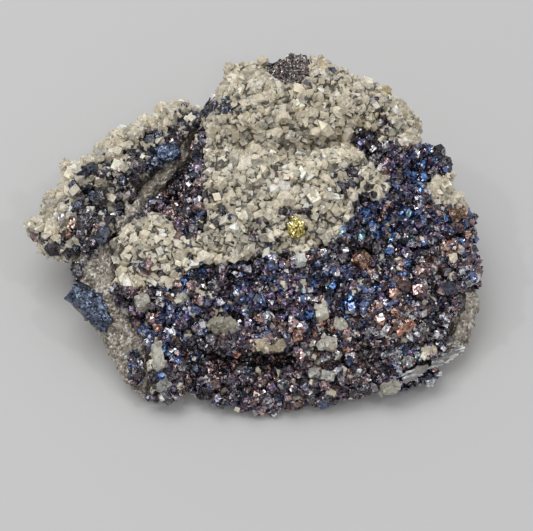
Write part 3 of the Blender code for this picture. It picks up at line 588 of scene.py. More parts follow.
class NodeGraph:
    """A small helper that adds and links the shader nodes of one material."""

    def __init__(self, name: str) -> None:
        """Makes a material with one Principled shader."""
        self.material = bpy.data.materials.new(name)
        self.material.use_nodes = True
        self.tree = self.material.node_tree
        self.shader = self.tree.nodes["Principled BSDF"]

    def add(self, kind: str, **inputs: object) -> bpy.types.Node:
        """Adds a node.

        Args:
            kind: Blender's name of the node type.
            **inputs: Socket values, with spaces in socket names written as underscores.

        Returns:
            The new node.
        """
        node = self.tree.nodes.new(kind)
        for name, value in inputs.items():
            node.inputs[name.replace("_", " ")].default_value = value
        return node

    def link(self, source: bpy.types.NodeSocket, target: bpy.types.NodeSocket) -> None:
        """Links two sockets."""
        self.tree.links.new(source, target)

    def texture(self, kind: str, grain: float, **inputs: float) -> bpy.types.Node:
        """Adds a texture in object space.

        Args:
            kind: Blender's name of the node type.
            grain: Size of its lumps or cells in millimetres.
            **inputs: Its other socket values.

        Returns:
            The texture node.
        """
        place = self.add("ShaderNodeTexCoord")
        texture = self.add(kind, Scale=1 / (grain * MM), **inputs)
        self.link(place.outputs["Object"], texture.inputs["Vector"])
        return texture

    def noise(self, grain: float, detail: float = 3.0, rough: float = 0.6) -> bpy.types.Node:
        """Adds noise with a grain in millimetres, and finer layers of a number and strength."""
        return self.texture("ShaderNodeTexNoise", grain, Detail=detail, Roughness=rough)

    def cells(self, grain: float) -> bpy.types.Node:
        """Adds angular cells, each with a random colour, of a size in millimetres."""
        return self.texture("ShaderNodeTexVoronoi", grain)

    def range(self, source: bpy.types.NodeSocket, low: float, high: float,
              start: float = 0.3, end: float = 0.7) -> bpy.types.NodeSocket:
        """Maps a value from one range to another.

        Args:
            source: The value.
            low: Result at the start.
            high: Result at the end.
            start: Value that gives low.
            end: Value that gives high.

        Returns:
            The mapped value's socket.
        """
        mapped = self.add("ShaderNodeMapRange", From_Min=start, From_Max=end, To_Min=low,
                          To_Max=high)
        self.link(source, mapped.inputs["Value"])
        return mapped.outputs["Result"]

    def combine(self, kind: str, operation: str, first: bpy.types.NodeSocket,
                second: bpy.types.NodeSocket | None = None) -> bpy.types.NodeSocket:
        """Combines one or two sockets in a math node.

        Args:
            kind: Blender's name of the node type.
            operation: Blender's name of the operation.
            first: The first socket.
            second: The second socket, or nothing.

        Returns:
            The result's socket.
        """
        node = self.add(kind)
        node.operation = operation
        self.link(first, node.inputs[0])
        if second is not None:
            self.link(second, node.inputs[1])
        return node.outputs[0]

    def tilted_cells(self, cells: bpy.types.Node, tilt: float) -> bpy.types.NodeSocket:
        """Gives each cell of the surface a slant of its own, as small cleaved steps have.

        Args:
            cells: The Voronoi node of the cells.
            tilt: How strong the slant is, as a share of the normal's length.

        Returns:
            The slanted normal's socket.
        """
        centred = self.add("ShaderNodeVectorMath")
        centred.operation = "SUBTRACT"
        centred.inputs[1].default_value = (0.5, 0.5, 0.5)
        self.link(cells.outputs["Color"], centred.inputs[0])
        scaled = self.add("ShaderNodeVectorMath")
        scaled.operation = "SCALE"
        scaled.inputs["Scale"].default_value = 2 * tilt
        self.link(centred.outputs["Vector"], scaled.inputs[0])
        surface = self.add("ShaderNodeNewGeometry")
        leaning = self.combine("ShaderNodeVectorMath", "ADD", surface.outputs["Normal"],
                               scaled.outputs["Vector"])
        return self.combine("ShaderNodeVectorMath", "NORMALIZE", leaning)

    def bump(self, height: bpy.types.NodeSocket, strength: float, distance: float,
             normal: bpy.types.NodeSocket) -> None:
        """Adds a bump from a height to the shader.

        Args:
            height: The height's socket.
            strength: How strong it is, 0 to 1.
            distance: How deep it is, in millimetres.
            normal: The surface's normal before the bump.
        """
        node = self.add("ShaderNodeBump", Strength=strength, Distance=distance * MM)
        self.link(height, node.inputs["Height"])
        self.link(normal, node.inputs["Normal"])
        self.link(node.outputs["Normal"], self.shader.inputs["Normal"])


@dataclass(frozen=True)
class CrystalFinish:
    """Finish of crystals that carry their own colour in the mesh.

    Attributes:
        name: Name of the material.
        metallic: 0 for stone, 1 for metal.
        roughness: Roughness of the smoothest and the roughest places.
        grain: Size of the colour's and the surface's variation.
        shade: Darkest and lightest factor on the colour.
        depth: Depth of the surface's fine bumps.
        step: Size of the small steps on a face.
        tilt: How much the steps slant.
        step_painted_light: Darkest and lightest factor on the colour of a step: painted light and
            shade that each step gets at random.
        specular: Strength of the gloss of a stone.
        glow: Share of the light that passes into the crystal and out again.
        glow_radius: How far that light travels, by red, green and blue.
        glow_scale: Unit of that distance.
        bump: Strength of the fine bumps.
    """

    name: str
    metallic: float
    roughness: tuple[float, float]
    grain: float
    shade: tuple[float, float]
    depth: float
    step: float
    tilt: float
    step_painted_light: tuple[float, float]
    specular: float = 0.5
    glow: float = 0.0
    glow_radius: RGB = (1.0, 0.9, 0.7)
    glow_scale: float = 0.6
    bump: float = 0.6

    def make(self) -> bpy.types.Material:
        """Makes the material.

        Returns:
            The new material.
        """
        graph = NodeGraph(self.name)
        tint = graph.add("ShaderNodeAttribute")
        tint.attribute_name = "tint"
        texture = graph.noise(self.grain)
        cells = graph.cells(self.step)
        parts = graph.add("ShaderNodeSeparateColor")
        graph.link(cells.outputs["Color"], parts.inputs["Color"])
        # Base colour: the tint, times a random tone from noise and painted light and shade per step
        factor = graph.combine("ShaderNodeMath", "MULTIPLY",
                               graph.range(texture.outputs["Fac"], *self.shade),
                               graph.range(parts.outputs["Red"], *self.step_painted_light, 0, 1))
        scaled = graph.add("ShaderNodeVectorMath")
        scaled.operation = "SCALE"
        graph.link(tint.outputs["Color"], scaled.inputs[0])
        graph.link(factor, scaled.inputs["Scale"])
        graph.link(scaled.outputs["Vector"], graph.shader.inputs["Base Color"])
        rough = graph.range(texture.outputs["Fac"], *self.roughness)
        graph.link(rough, graph.shader.inputs["Roughness"])
        graph.shader.inputs["Metallic"].default_value = self.metallic
        graph.shader.inputs["Specular IOR Level"].default_value = self.specular
        graph.shader.inputs["Subsurface Weight"].default_value = self.glow
        graph.shader.inputs["Subsurface Radius"].default_value = self.glow_radius
        graph.shader.inputs["Subsurface Scale"].default_value = self.glow_scale * MM
        fine = graph.noise(self.grain / 3)
        slanted = graph.tilted_cells(cells, self.tilt)
        graph.bump(fine.outputs["Fac"], self.bump, self.depth, slanted)
        return graph.material


@dataclass(frozen=True)
class RockFinish:
    """Finish of the broken host rock: sugary grains from dark to pale, with brown stains.

    Attributes:
        grains: Colours of its grains, from the darkest to the palest, and where each starts.
        stain: Colour of its brown stains.
        stained: Least and most of the stain.
        grain: Size of a grain.
        grain_tone: Lowest and highest place on the scale of colours, grain by grain.
        fine_tone: What finer specks add to that.
        roughness: Roughness of the smoothest and the roughest grains.
        depth: Depth of its bumps.
        tilt: How much its grains slant.
    """

    grains: tuple[tuple[float, RGB], ...] = (
        (0.00, (0.050, 0.045, 0.042)), (0.24, (0.170, 0.148, 0.126)),
        (0.48, (0.370, 0.325, 0.272)), (0.74, (0.560, 0.505, 0.435)),
        (0.90, (0.900, 0.860, 0.800)),
    )
    stain: RGB = (0.250, 0.185, 0.125)
    stained: tuple[float, float] = (0.0, 0.35)
    grain: float = 0.46
    grain_tone: tuple[float, float] = (0.0, 0.70)
    fine_tone: tuple[float, float] = (0.0, 0.40)
    roughness: tuple[float, float] = (0.3, 0.9)
    depth: float = 0.35
    tilt: float = 0.35

    def make(self) -> bpy.types.Material:
        """Makes the material.

        Returns:
            The new material.
        """
        graph = NodeGraph("sugary_host_rock")
        cells = graph.cells(self.grain)
        fine = graph.noise(self.grain * 2, 5.0, 0.7)
        wide = graph.noise(self.grain * 12)
        split = graph.add("ShaderNodeSeparateColor")
        graph.link(cells.outputs["Color"], split.inputs["Color"])
        tone = graph.combine("ShaderNodeMath", "ADD",
                             graph.range(split.outputs["Red"], *self.grain_tone, 0, 1),
                             graph.range(fine.outputs["Fac"], *self.fine_tone))
        ramp = graph.add("ShaderNodeValToRGB")
        steps = ramp.color_ramp.elements
        steps.remove(steps[1])
        for index, (position, colour) in enumerate(self.grains):
            element = steps[0] if index == 0 else steps.new(position)
            element.position = position
            element.color = (*colour, 1)
        graph.link(tone, ramp.inputs["Fac"])
        mixed = graph.add("ShaderNodeMix")
        mixed.data_type = "RGBA"
        mixed.inputs["B"].default_value = (*self.stain, 1)
        graph.link(ramp.outputs["Color"], mixed.inputs["A"])
        graph.link(graph.range(wide.outputs["Fac"], *self.stained, 0.5, 0.75),
                   mixed.inputs["Factor"])
        graph.link(mixed.outputs["Result"], graph.shader.inputs["Base Color"])
        graph.link(graph.range(split.outputs["Green"], *self.roughness, 0, 0.5),
                   graph.shader.inputs["Roughness"])
        height = graph.combine("ShaderNodeMath", "SUBTRACT", fine.outputs["Fac"],
                               cells.outputs["Distance"])
        graph.bump(height, 1.0, self.depth, graph.tilted_cells(cells, self.tilt))
        return graph.material


class Finishes:
    """Every material of the specimen, each made once."""

    def __init__(self) -> None:
        """Makes the materials."""
        self.of = {
            Mineral.HOST: RockFinish().make(),
            Mineral.DOLOMITE: CrystalFinish(
                "pearly_dolomite", metallic=0.0, roughness=(0.14, 0.36), grain=0.8,
                shade=(0.90, 1.12), depth=0.08, step=0.42, tilt=0.22, step_painted_light=(0.80, 1.22),
                specular=0.7, glow=0.25).make(),
            Mineral.GALENA: CrystalFinish(
                "tarnished_galena", metallic=0.9, roughness=(0.12, 0.34), grain=0.6,
                shade=(0.8, 1.4), depth=0.04, step=0.42, tilt=0.42,
                step_painted_light=(0.50, 1.95)).make(),
            Mineral.CHALCOPYRITE: CrystalFinish(
                "brassy_chalcopyrite", metallic=1.0, roughness=(0.12, 0.30), grain=0.5,
                shade=(0.8, 1.2), depth=0.03, step=0.25, tilt=0.45,
                step_painted_light=(0.6, 1.3)).make(),
            Mineral.CALCITE: CrystalFinish(
                "fibrous_calcite", metallic=0.0, roughness=(0.35, 0.6), grain=0.5,
                shade=(0.9, 1.1), depth=0.03, step=0.4, tilt=0.1, step_painted_light=(0.9, 1.1),
                specular=0.5, glow=0.6).make(),
        }


class CrystalPile:
    """Gathers crystals and other triangles into one mesh with a colour for each triangle."""

    def __init__(self) -> None:
        """Starts with nothing."""
        self.points: list[np.ndarray] = []
        self.triangles: list[np.ndarray] = []
        self.colours: list[np.ndarray] = []
        self.slots: list[np.ndarray] = []
        self.count = 0

    def add(self, points: np.ndarray, triangles: np.ndarray, colours: np.ndarray,
            slot: int = 0) -> None:
        """Adds some triangles.

        Args:
            points: Corners in metres, one row each.
            triangles: Rows of three corner numbers.
            colours: A colour for each triangle.
            slot: Number of their material.
        """
        self.points.append(points)
        self.triangles.append(triangles + self.count)
        self.colours.append(colours)
        self.slots.append(np.full(len(triangles), slot))
        self.count += len(points)

    def add_crystals(self, habit: Habit, centres: np.ndarray, widths: np.ndarray,
                     turns: np.ndarray, colours: np.ndarray, play: FacetPlay,
                     rng: np.random.Generator, slot: int = 0) -> None:
        """Adds one crystal at each centre.

        Args:
            habit: Their shape.
            centres: Their centres in metres, one row each.
            widths: Their three widths in metres, one row each.
            turns: Their rotations, one 3 by 3 matrix each.
            colours: A colour for each crystal.
            play: The painted light and painted glints of their facets.
            rng: Source of the small flaws of their faces.
            slot: Number of their material.
        """
        if not len(centres):
            return
        corners, triangles, facets = hull_template(habit_corners(habit))
        flaws = 1 + rng.normal(0, CORNER_FLAW, (len(centres), len(corners), 1))
        shapes = corners[None] * flaws * widths[:, None, :]
        placed = np.einsum("nij,nkj->nki", turns, shapes) + centres[:, None, :]
        offsets = np.arange(len(centres))[:, None, None] * len(corners)
        faces = (triangles[None] + offsets).reshape(-1, 3)
        painted = play.colours(colours, facets.max() + 1, rng)[:, facets, :]
        self.add(placed.reshape(-1, 3), faces, painted.reshape(-1, 3), slot)

    def stand_in(self, node: str, name: str,
                 materials: list[bpy.types.Material]) -> None:
        """Makes the mesh and its object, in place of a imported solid.

        Args:
            node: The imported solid.
            name: Name of the new object.
            materials: Its materials, in the order of the slots.
        """
        triangles = np.concatenate(self.triangles)
        mesh = bpy.data.meshes.new(name)
        mesh.from_pydata(np.concatenate(self.points).tolist(), [], triangles.tolist())
        for material in materials:
            mesh.materials.append(material)
        mesh.polygons.foreach_set("material_index", np.concatenate(self.slots))
        layer = mesh.color_attributes.new(name="tint", type="FLOAT_COLOR", domain="CORNER")
        rgba = np.ones((len(triangles) * 3, 4))
        rgba[:, :3] = np.repeat(np.clip(np.concatenate(self.colours), 0, 1), 3, axis=0)
        layer.data.foreach_set("color", rgba.ravel())
        mesh.update()
        item = bpy.data.objects.new(name, mesh)
        bpy.context.scene.collection.objects.link(item)
        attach(item, "root")
        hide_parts(node)
        LOG.info("%s: %d triangles", item.name, len(mesh.polygons))


def mesh_arrays(mesh: bpy.types.Mesh) -> tuple[np.ndarray, np.ndarray]:
    """Reads a mesh: its corners in metres and its triangles, one row each."""
    mesh.calc_loop_triangles()
    points = np.empty(len(mesh.vertices) * 3)
    mesh.vertices.foreach_get("co", points)
    triangles = np.empty(len(mesh.loop_triangles) * 3, dtype=int)
    mesh.loop_triangles.foreach_get("vertices", triangles)
    return points.reshape(-1, 3), triangles.reshape(-1, 3)


def fine_skin(source: bpy.types.Object,
              voxel: float) -> tuple[np.ndarray, np.ndarray, np.ndarray]:
    """Makes an even, fine skin of a solid.

    Args:
        source: The solid's object.
        voxel: Size of the skin's cells.

    Returns:
        Its corners in metres, its triangles and its corners' normals, one row each.
    """
    item = bpy.data.objects.new("skin_source", source.data.copy())
    bpy.context.scene.collection.objects.link(item)
    step = item.modifiers.new("remesh", "REMESH")
    step.mode = "VOXEL"
    step.voxel_size = voxel * MM
    graph = bpy.context.evaluated_depsgraph_get()
    mesh = bpy.data.meshes.new_from_object(item.evaluated_get(graph))
    bpy.data.objects.remove(item)
    normals = np.empty(len(mesh.vertices) * 3)
    mesh.vertices.foreach_get("normal", normals)
    return *mesh_arrays(mesh), normals.reshape(-1, 3)


def search_tree(item: bpy.types.Object) -> BVHTree:
    """Returns a search tree over an object's triangles."""
    points, triangles = mesh_arrays(item.data)
    return BVHTree.FromPolygons([Vector(p) for p in points], triangles.tolist())


def noise_at(points: np.ndarray, size: float, offset: float = 0.0) -> np.ndarray:
    """Returns smooth noise at points.

    Args:
        points: Points in metres, one row each.
        size: Size of the noise's lumps in millimetres.
        offset: Moves the pattern, so that two calls differ.

    Returns:
        A value of about -1 to 1 for each point.
    """
    scaled = points / (size * MM) + offset
    return np.array([noise.noise(Vector(row)) for row in scaled])


@dataclass(frozen=True)
class Waves:
    """One layer of smooth waves on a surface: their height, size and pattern's offset."""

    height: float
    size: float
    offset: float

    def lift(self, points: np.ndarray) -> np.ndarray:
        """Returns how far the waves move the surface at each point, in millimetres."""
        return self.height * noise_at(points, self.size, self.offset)


def moved_out(points: np.ndarray, ways: np.ndarray) -> np.ndarray:
    """Moves points along ways given in millimetres, and keeps them above the floor."""
    moved = points + ways * MM
    moved[:, 2] = np.maximum(moved[:, 2], 0)
    return moved


def standing_turns(normals: np.ndarray, lean: float, rng: np.random.Generator) -> np.ndarray:
    """Returns rotations that stand crystals on the surface, turned at random about it.

    Args:
        normals: The surface's normals, one row each.
        lean: How far they lean away from the normal; a large value turns them at random.
        rng: Source of the random choices.

    Returns:
        Rotations, one 3 by 3 matrix each.
    """
    up = normals + lean * rng.normal(size=normals.shape)
    up /= np.linalg.norm(up, axis=1, keepdims=True)
    across = np.cross(up, rng.normal(size=normals.shape))
    across /= np.linalg.norm(across, axis=1, keepdims=True)
    return np.stack([across, np.cross(up, across), up], axis=2)


def uneven_widths(sizes: np.ndarray, rng: np.random.Generator) -> np.ndarray:
    """Returns three somewhat different widths in metres for each size in millimetres."""
    return sizes[:, None] * rng.uniform(0.8, 1.2, (len(sizes), 3)) * MM


def lump_height(points: np.ndarray, size: float) -> np.ndarray:
    """Returns the height of rounded lumps that meet in creases.

    Args:
        points: Points in metres, one row each.
        size: Size of a lump in millimetres.

    Returns:
        A value of about -1 in the creases to 0.6 on the lumps for each point.
    """
    scaled = points / (size * MM)
    near = np.array([noise.voronoi(Vector(row), distance_metric="DISTANCE")[0][:2]
                     for row in scaled])
    gap = near[:, 1] - near[:, 0]
    return 0.6 - 1.6 * np.exp(-(gap / 0.22) ** 2) - 0.5 * near[:, 0]


def zone_share(zones: tuple[Zone, ...], places: np.ndarray, kind: Enum,
               base: float) -> np.ndarray:
    """Returns the share of one kind at each display place.

    Args:
        zones: The zones that raise it.
        places: Display places, one row each.
        kind: The kind.
        base: Its share outside the zones.

    Returns:
        A share from 0 to 1 for each place.
    """
    share = np.full(len(places), base)
    for zone in zones:
        share = np.maximum(share, zone.weight(places) * zone.shares.get(kind, 0))
    return share


def pick_colours(palette: type[Enum], shares: dict, zones: tuple[Zone, ...],
                 places: np.ndarray, rng: np.random.Generator,
                 drift: np.ndarray | float = 0.0) -> np.ndarray:
    """Chooses a colour for each crystal, so that neighbours tend to be alike.

    Args:
        palette: The Enum of colours.
        shares: Weight of each colour outside the zones.
        zones: Zones that add to the weights.
        places: Display places of the crystals.
        rng: Source of the choices.
        drift: A smooth value for each crystal that its choice follows.

    Returns:
        A linear colour for each crystal.
    """
    names = list(palette)
    weights = np.tile([shares.get(name, 0.0) for name in names], (len(places), 1))
    for zone in zones:
        here = zone.weight(places)
        for colour, gain in zone.shares.items():
            weights[:, names.index(colour)] += gain * here
    steps = np.cumsum(weights, axis=1)
    order = rng.normal(0, DRIFT_SCATTER, len(places)) + drift
    draws = (np.argsort(np.argsort(order)) + 0.5) / len(places) * steps[:, -1]
    chosen = np.minimum((steps < draws[:, None]).sum(axis=1), len(names) - 1)
    colours = np.array([name.value for name in names])[chosen]
    return colours * rng.uniform(0.8, 1.2, (len(places), 1))


class Ground:
    """Triangles that crystals stand on.

    Attributes:
        points: Corners in metres, one row each.
        triangles: Rows of three corner numbers.
        normals: Unit normal of each triangle.
        areas: Area of each triangle.
    """

    def __init__(self, points: np.ndarray, triangles: np.ndarray) -> None:
        """Measures the triangles."""
        self.points = points
        self.triangles = triangles
        a, b, c = (points[triangles[:, i]] for i in range(3))
        cross = np.cross(b - a, c - a)
        length = np.linalg.norm(cross, axis=1)
        self.normals = cross / np.maximum(length, 1e-12)[:, None]
        self.areas = length / 2

    def choose(self, count: int, rng: np.random.Generator) -> np.ndarray:
        """Chooses a number of triangles at random, by area."""
        return rng.choice(len(self.triangles), count, p=self.areas / self.areas.sum())

    def scatter(self, count: int, rng: np.random.Generator) -> tuple[np.ndarray, np.ndarray]:
        """Chooses places at random.

        Args:
            count: Number of places.
            rng: Source of the random choices.

        Returns:
            The triangle of each place, and the places in metres, one row each.
        """
        chosen = self.choose(count, rng)
        u, v = np.sort(rng.random((2, count)), axis=0)
        a, b, c = (self.points[self.triangles[chosen, i]] for i in range(3))
        return chosen, a * u[:, None] + b * (v - u)[:, None] + c * (1 - v)[:, None]


class Bed(Ground):
    """The uneven bed of a druse, which knows where crystals stand already.

    Attributes:
        heights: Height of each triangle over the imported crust.
        taken: Spots of the crystals that stand, by cell.
    """

    def __init__(self, points: np.ndarray, triangles: np.ndarray, heights: np.ndarray) -> None:
        """Starts without crystals."""
        super().__init__(points, triangles)
        self.heights = heights
        self.taken: dict[tuple[int, ...], list[np.ndarray]] = {}

    def take(self, spot: np.ndarray) -> None:
        """Notes that a crystal stands on a spot in metres."""
        self.taken.setdefault(self.cell(spot), []).append(spot)

    def is_free(self, spot: np.ndarray, spacing: float) -> bool:
        """Says whether a spot is clear of the crystals that stand already.

        Args:
            spot: The spot in metres.
            spacing: Least distance in millimetres.

        Returns:
            True if no crystal in the cells around is nearer than that.
        """
        x, y, z = self.cell(spot)
        for step in itertools.product((-1, 0, 1), repeat=3):
            for other in self.taken.get((x + step[0], y + step[1], z + step[2]), ()):
                if np.sum((spot - other) ** 2) < (spacing * MM) ** 2:
                    return False
        return True

    @staticmethod
    def cell(spot: np.ndarray) -> tuple[int, ...]:
        """Returns the numbers of the cell that a spot lies in."""
        return tuple(int(value // (CELL_SIZE * MM)) for value in spot)


@dataclass(frozen=True)
class Site:
    """What the pieces are built with.

    Attributes:
        nodes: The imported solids, by name.
        host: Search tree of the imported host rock.
        sliver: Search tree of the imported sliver, which no druse may cover.
        view: The display side.
        finishes: The materials.
        rng: Source of the random choices.
    """

    nodes: dict[str, bpy.types.Object]
    host: BVHTree
    sliver: BVHTree
    view: DisplayView
    finishes: Finishes
    rng: np.random.Generator


@dataclass(frozen=True)
class Growth:
    """One generation of crystals on a druse.

    Attributes:
        spacing: Least distance between two crystals.
        size: Smallest and largest size.
        sunk: Share of the size that is sunk in the bed.
        tries: Number of places tried.
        guests: Factor on the share of the other mineral.
        shade: Factor on the colours; below 1 it is painted shade on the small crystals that fill
            the deep gaps.
    """

    spacing: float
    size: tuple[float, float]
    sunk: float
    tries: int
    guests: float = 1.0
    shade: float = 1.0


@dataclass(frozen=True)
class Druse:
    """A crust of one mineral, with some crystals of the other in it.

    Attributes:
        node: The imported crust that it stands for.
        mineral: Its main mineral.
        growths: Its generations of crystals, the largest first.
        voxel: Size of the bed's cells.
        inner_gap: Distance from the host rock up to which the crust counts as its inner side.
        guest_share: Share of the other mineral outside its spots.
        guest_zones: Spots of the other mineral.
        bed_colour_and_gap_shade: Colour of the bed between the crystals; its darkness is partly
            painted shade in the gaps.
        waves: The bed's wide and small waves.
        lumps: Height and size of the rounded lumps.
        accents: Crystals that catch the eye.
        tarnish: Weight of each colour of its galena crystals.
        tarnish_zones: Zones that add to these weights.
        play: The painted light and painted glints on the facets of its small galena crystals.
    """

    node: str
    mineral: Mineral
    growths: tuple[Growth, ...]
    voxel: float = 0.55
    inner_gap: float = 0.55
    guest_share: float = 0.03
    guest_zones: tuple[Zone, ...] = ()
    bed_colour_and_gap_shade: RGB = (0.02, 0.018, 0.022)
    waves: tuple[Waves, ...] = (Waves(0.7, 6.0, 3.3), Waves(0.3, 2.2, 8.1))
    lumps: tuple[float, float] = (0.9, 2.6)
    accents: tuple[Accent, ...] = ()
    tarnish: dict[Enum, float] = field(default_factory=lambda: TARNISH_SHARES)
    tarnish_zones: tuple[Zone, ...] = ()
    play: FacetPlay = METAL_PLAY

    def build(self, site: Site) -> None:
        """Builds the druse in place of its packed crust."""
        bed = self.make_bed(site)
        pile = CrystalPile()
        # The dark bed is partly painted shade in the gaps between the crystals, with a random tone
        tones = site.rng.uniform(0.6, 1.4, (len(bed.triangles), 1)) * np.array(self.bed_colour_and_gap_shade)
        pile.add(bed.points, bed.triangles, tones, SPECIES[self.mineral].slot)
        if self.accents:
            self.set_accents(bed, pile, site)
        for growth in self.growths:
            self.grow(growth, bed, pile, site)
        name = self.node.replace("crust", "druse").replace("patch", "druse_patch")
        pile.stand_in(self.node, name, [site.finishes.of[kind] for kind in SPECIES])

    def make_bed(self, site: Site) -> Bed:
        """Makes the uneven bed that the crystals stand on, where it is open to the air."""
        points, triangles, normals = fine_skin(site.nodes[self.node], self.voxel)
        height = (sum(wave.lift(points) for wave in self.waves)
                  + self.lumps[0] * lump_height(points, self.lumps[1]))
        places = site.view.places(points)
        for fold in FOLDS:
            height += fold.lift(places)
        height -= RIB_RETREAT * ROCK_RIB.lift(places)
        feet = np.array([tuple(site.host.find_nearest(Vector(p))[0]) for p in points])
        clear = np.linalg.norm(points - feet, axis=1) / MM
        away = np.sum((points - feet) * normals, axis=1) / MM
        is_open = (clear > self.inner_gap) & (away > -0.2 * clear)
        height = np.clip(height, *BED_HEIGHT) * np.clip(clear - self.inner_gap, 0, 1)
        all_open = is_open[triangles].all(axis=1)
        return Bed(moved_out(points, normals * height[:, None]), triangles[all_open],
                   height[triangles].mean(axis=1)[all_open])

    def set_accents(self, bed: Bed, pile: CrystalPile, site: Site) -> None:
        """Adds the crystals that catch the eye, each where the display side sees its place.

        Args:
            bed: The druse's bed.
            pile: The druse's crystals so far.
            site: What the pieces are built with.
        """
        centres = bed.points[bed.triangles].mean(axis=1)
        places = site.view.places(centres)
        depth = np.linalg.norm(centres - np.array(site.view.matrix.translation), axis=1) / MM
        for accent in self.accents:
            apart = np.linalg.norm(places - np.array(accent.place), axis=1)
            index = int(np.argmin(apart * NEARER_THAN_DEPTH + depth))
            bed.take(centres[index])
            is_metal = isinstance(accent.colour, Tarnish)
            species = SPECIES[Mineral.GALENA if is_metal else Mineral.DOLOMITE]
            size = accent.size * ACCENT_SCALE
            centre = centres[index] - bed.normals[index] * size * ACCENT_SUNK * MM
            widths = size * site.rng.uniform(0.85, 1.15, (1, 3)) * MM
            turns = standing_turns(bed.normals[index:index + 1], species.lean, site.rng)
            pile.add_crystals(species.worn, centre[None], widths, turns,
                              np.array([accent.colour.value]), species.accent_play, site.rng,
                              species.slot)

    def grow(self, growth: Growth, bed: Bed, pile: CrystalPile, site: Site) -> None:
        """Adds one generation of crystals.

        Args:
            growth: The generation.
            bed: The druse's bed.
            pile: The druse's crystals so far.
            site: What the pieces are built with.
        """
        chosen, spots = self.free_spots(growth, bed, site)
        low, high = growth.size
        size = low + (high - low) * site.rng.random(len(spots)) ** SIZE_BIAS
        is_lifted = spots[:, 2] > FLOOR_CLEARANCE * size * MM
        chosen, spots, size = chosen[is_lifted], spots[is_lifted], size[is_lifted]
        # Painted shade in creases and painted light on lumps, times the generation's factor
        crease = 1 + SPECIES[self.mineral].painted_crease_shade * bed.heights[chosen]
        shade = np.clip(crease, *PAINTED_CREASE_LIGHT_LIMITS) * growth.shade
        centres = spots - bed.normals[chosen] * (size * growth.sunk * MM)[:, None]
        widths = uneven_widths(size, site.rng)
        is_galena, colours = self.choose_colours(growth, spots, site)
        colours *= shade[:, None]
        worn = {kind: site.rng.random(len(size)) < SPECIES[kind].worn_share for kind in SPECIES}
        for kind, species in SPECIES.items():
            is_kind = is_galena if kind is Mineral.GALENA else ~is_galena
            play = species.play
            if kind is Mineral.GALENA:
                play = CALM_PLAY if growth.spacing > LARGE_SPACING else self.play
            for habit, group in ((species.worn, is_kind & worn[kind]),
                                 (species.plain, is_kind & ~worn[kind])):
                turns = standing_turns(bed.normals[chosen[group]], species.lean, site.rng)
                pile.add_crystals(habit, centres[group], widths[group], turns,
                                  colours[group], play, site.rng, species.slot)

    def free_spots(self, growth: Growth, bed: Bed,
                   site: Site) -> tuple[np.ndarray, np.ndarray]:
        """Chooses spots that are clear of the rib, the sliver and the crystals that stand.

        Args:
            growth: The generation.
            bed: The druse's bed, where the spots are then taken.
            site: What the pieces are built with.

        Returns:
            The triangle of each spot, and the spots in metres, one row each.
        """
        chosen, spots = bed.scatter(growth.tries, site.rng)
        reach = (SLIVER_MARGIN + growth.size[1] / 2) * MM
        on_rib = ROCK_RIB.lift(site.view.places(spots)) > RIB_EDGE * ROCK_RIB.height
        kept = []
        for index, spot in enumerate(spots):
            if (not on_rib[index] and site.sliver.find_nearest(Vector(spot), reach)[0] is None
                    and bed.is_free(spot, growth.spacing)):
                bed.take(spot)
                kept.append(index)
        return chosen[kept], spots[kept]

    def choose_colours(self, growth: Growth, spots: np.ndarray,
                       site: Site) -> tuple[np.ndarray, np.ndarray]:
        """Chooses the mineral and the colour of each crystal.

        Args:
            growth: The generation.
            spots: Their spots in metres, one row each.
            site: What the pieces are built with.

        Returns:
            For each crystal whether it is galena, and its colour.
        """
        places = site.view.places(spots)
        drift = noise_at(spots, DRIFT_SIZE, 5.7)
        guest = Mineral.DOLOMITE if self.mineral is Mineral.GALENA else Mineral.GALENA
        share = zone_share(self.guest_zones, places, guest, self.guest_share) * growth.guests
        is_guest = site.rng.random(len(spots)) < share
        is_galena = is_guest if guest is Mineral.GALENA else ~is_guest
        colours = np.empty((len(spots), 3))
        for palette, shares, zones, group in (
                (Tarnish, self.tarnish, self.tarnish_zones, is_galena),
                (Carbonate, CARBONATE_SHARES, CARBONATE_ZONES, ~is_galena)):
            colours[group] = pick_colours(palette, shares, zones, places[group], site.rng,
                                          drift[group])
        return is_galena, colours


@dataclass(frozen=True)
class HostRock:
    """The broken host rock.

    Attributes:
        node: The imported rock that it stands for.
        voxel: Size of its cells.
        waves: Its lumps and its grains.
        rib: Height of the bare rib, and the waves on it.
        retreat: How far it draws back under a crust.
        cover: Distance from a crust up to which it draws back, and the width of the change.
    """

    node: str = "host_rock"
    voxel: float = 0.5
    waves: tuple[Waves, ...] = (Waves(0.55, 3.0, 1.7), Waves(0.40, 1.1, 5.2),
                                Waves(0.32, 0.5, 9.4))
    rib: tuple[float, Waves] = (0.7, Waves(1.6, 1.2, 6.1))
    retreat: float = 2.0
    cover: tuple[float, float] = (0.9, 0.3)

    def build(self, site: Site) -> None:
        """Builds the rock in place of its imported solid."""
        trees = [search_tree(item) for name, item in site.nodes.items()
                 if "crust" in name or "patch" in name]
        points, triangles, normals = fine_skin(site.nodes[self.node], self.voxel)
        nearest = np.array([min(tree.find_nearest(Vector(p))[3] for tree in trees)
                            for p in points]) / MM
        rib = ROCK_RIB.lift(site.view.places(points)) * (normals @ SKYWARD > 0)
        covered = np.clip((self.cover[0] - nearest) / self.cover[1], 0, 1)
        covered *= 1 - rib / ROCK_RIB.height
        height = sum(wave.lift(points) for wave in self.waves)
        height += rib * (self.rib[0] + self.rib[1].lift(points))
        height = height * (1 - covered) - self.retreat * covered
        pile = CrystalPile()
        pile.add(moved_out(points, normals * height[:, None]), triangles,
                 np.full((len(triangles), 3), 0.5))
        pile.stand_in(self.node, "broken_host_rock",
                      [site.finishes.of[Mineral.HOST]])


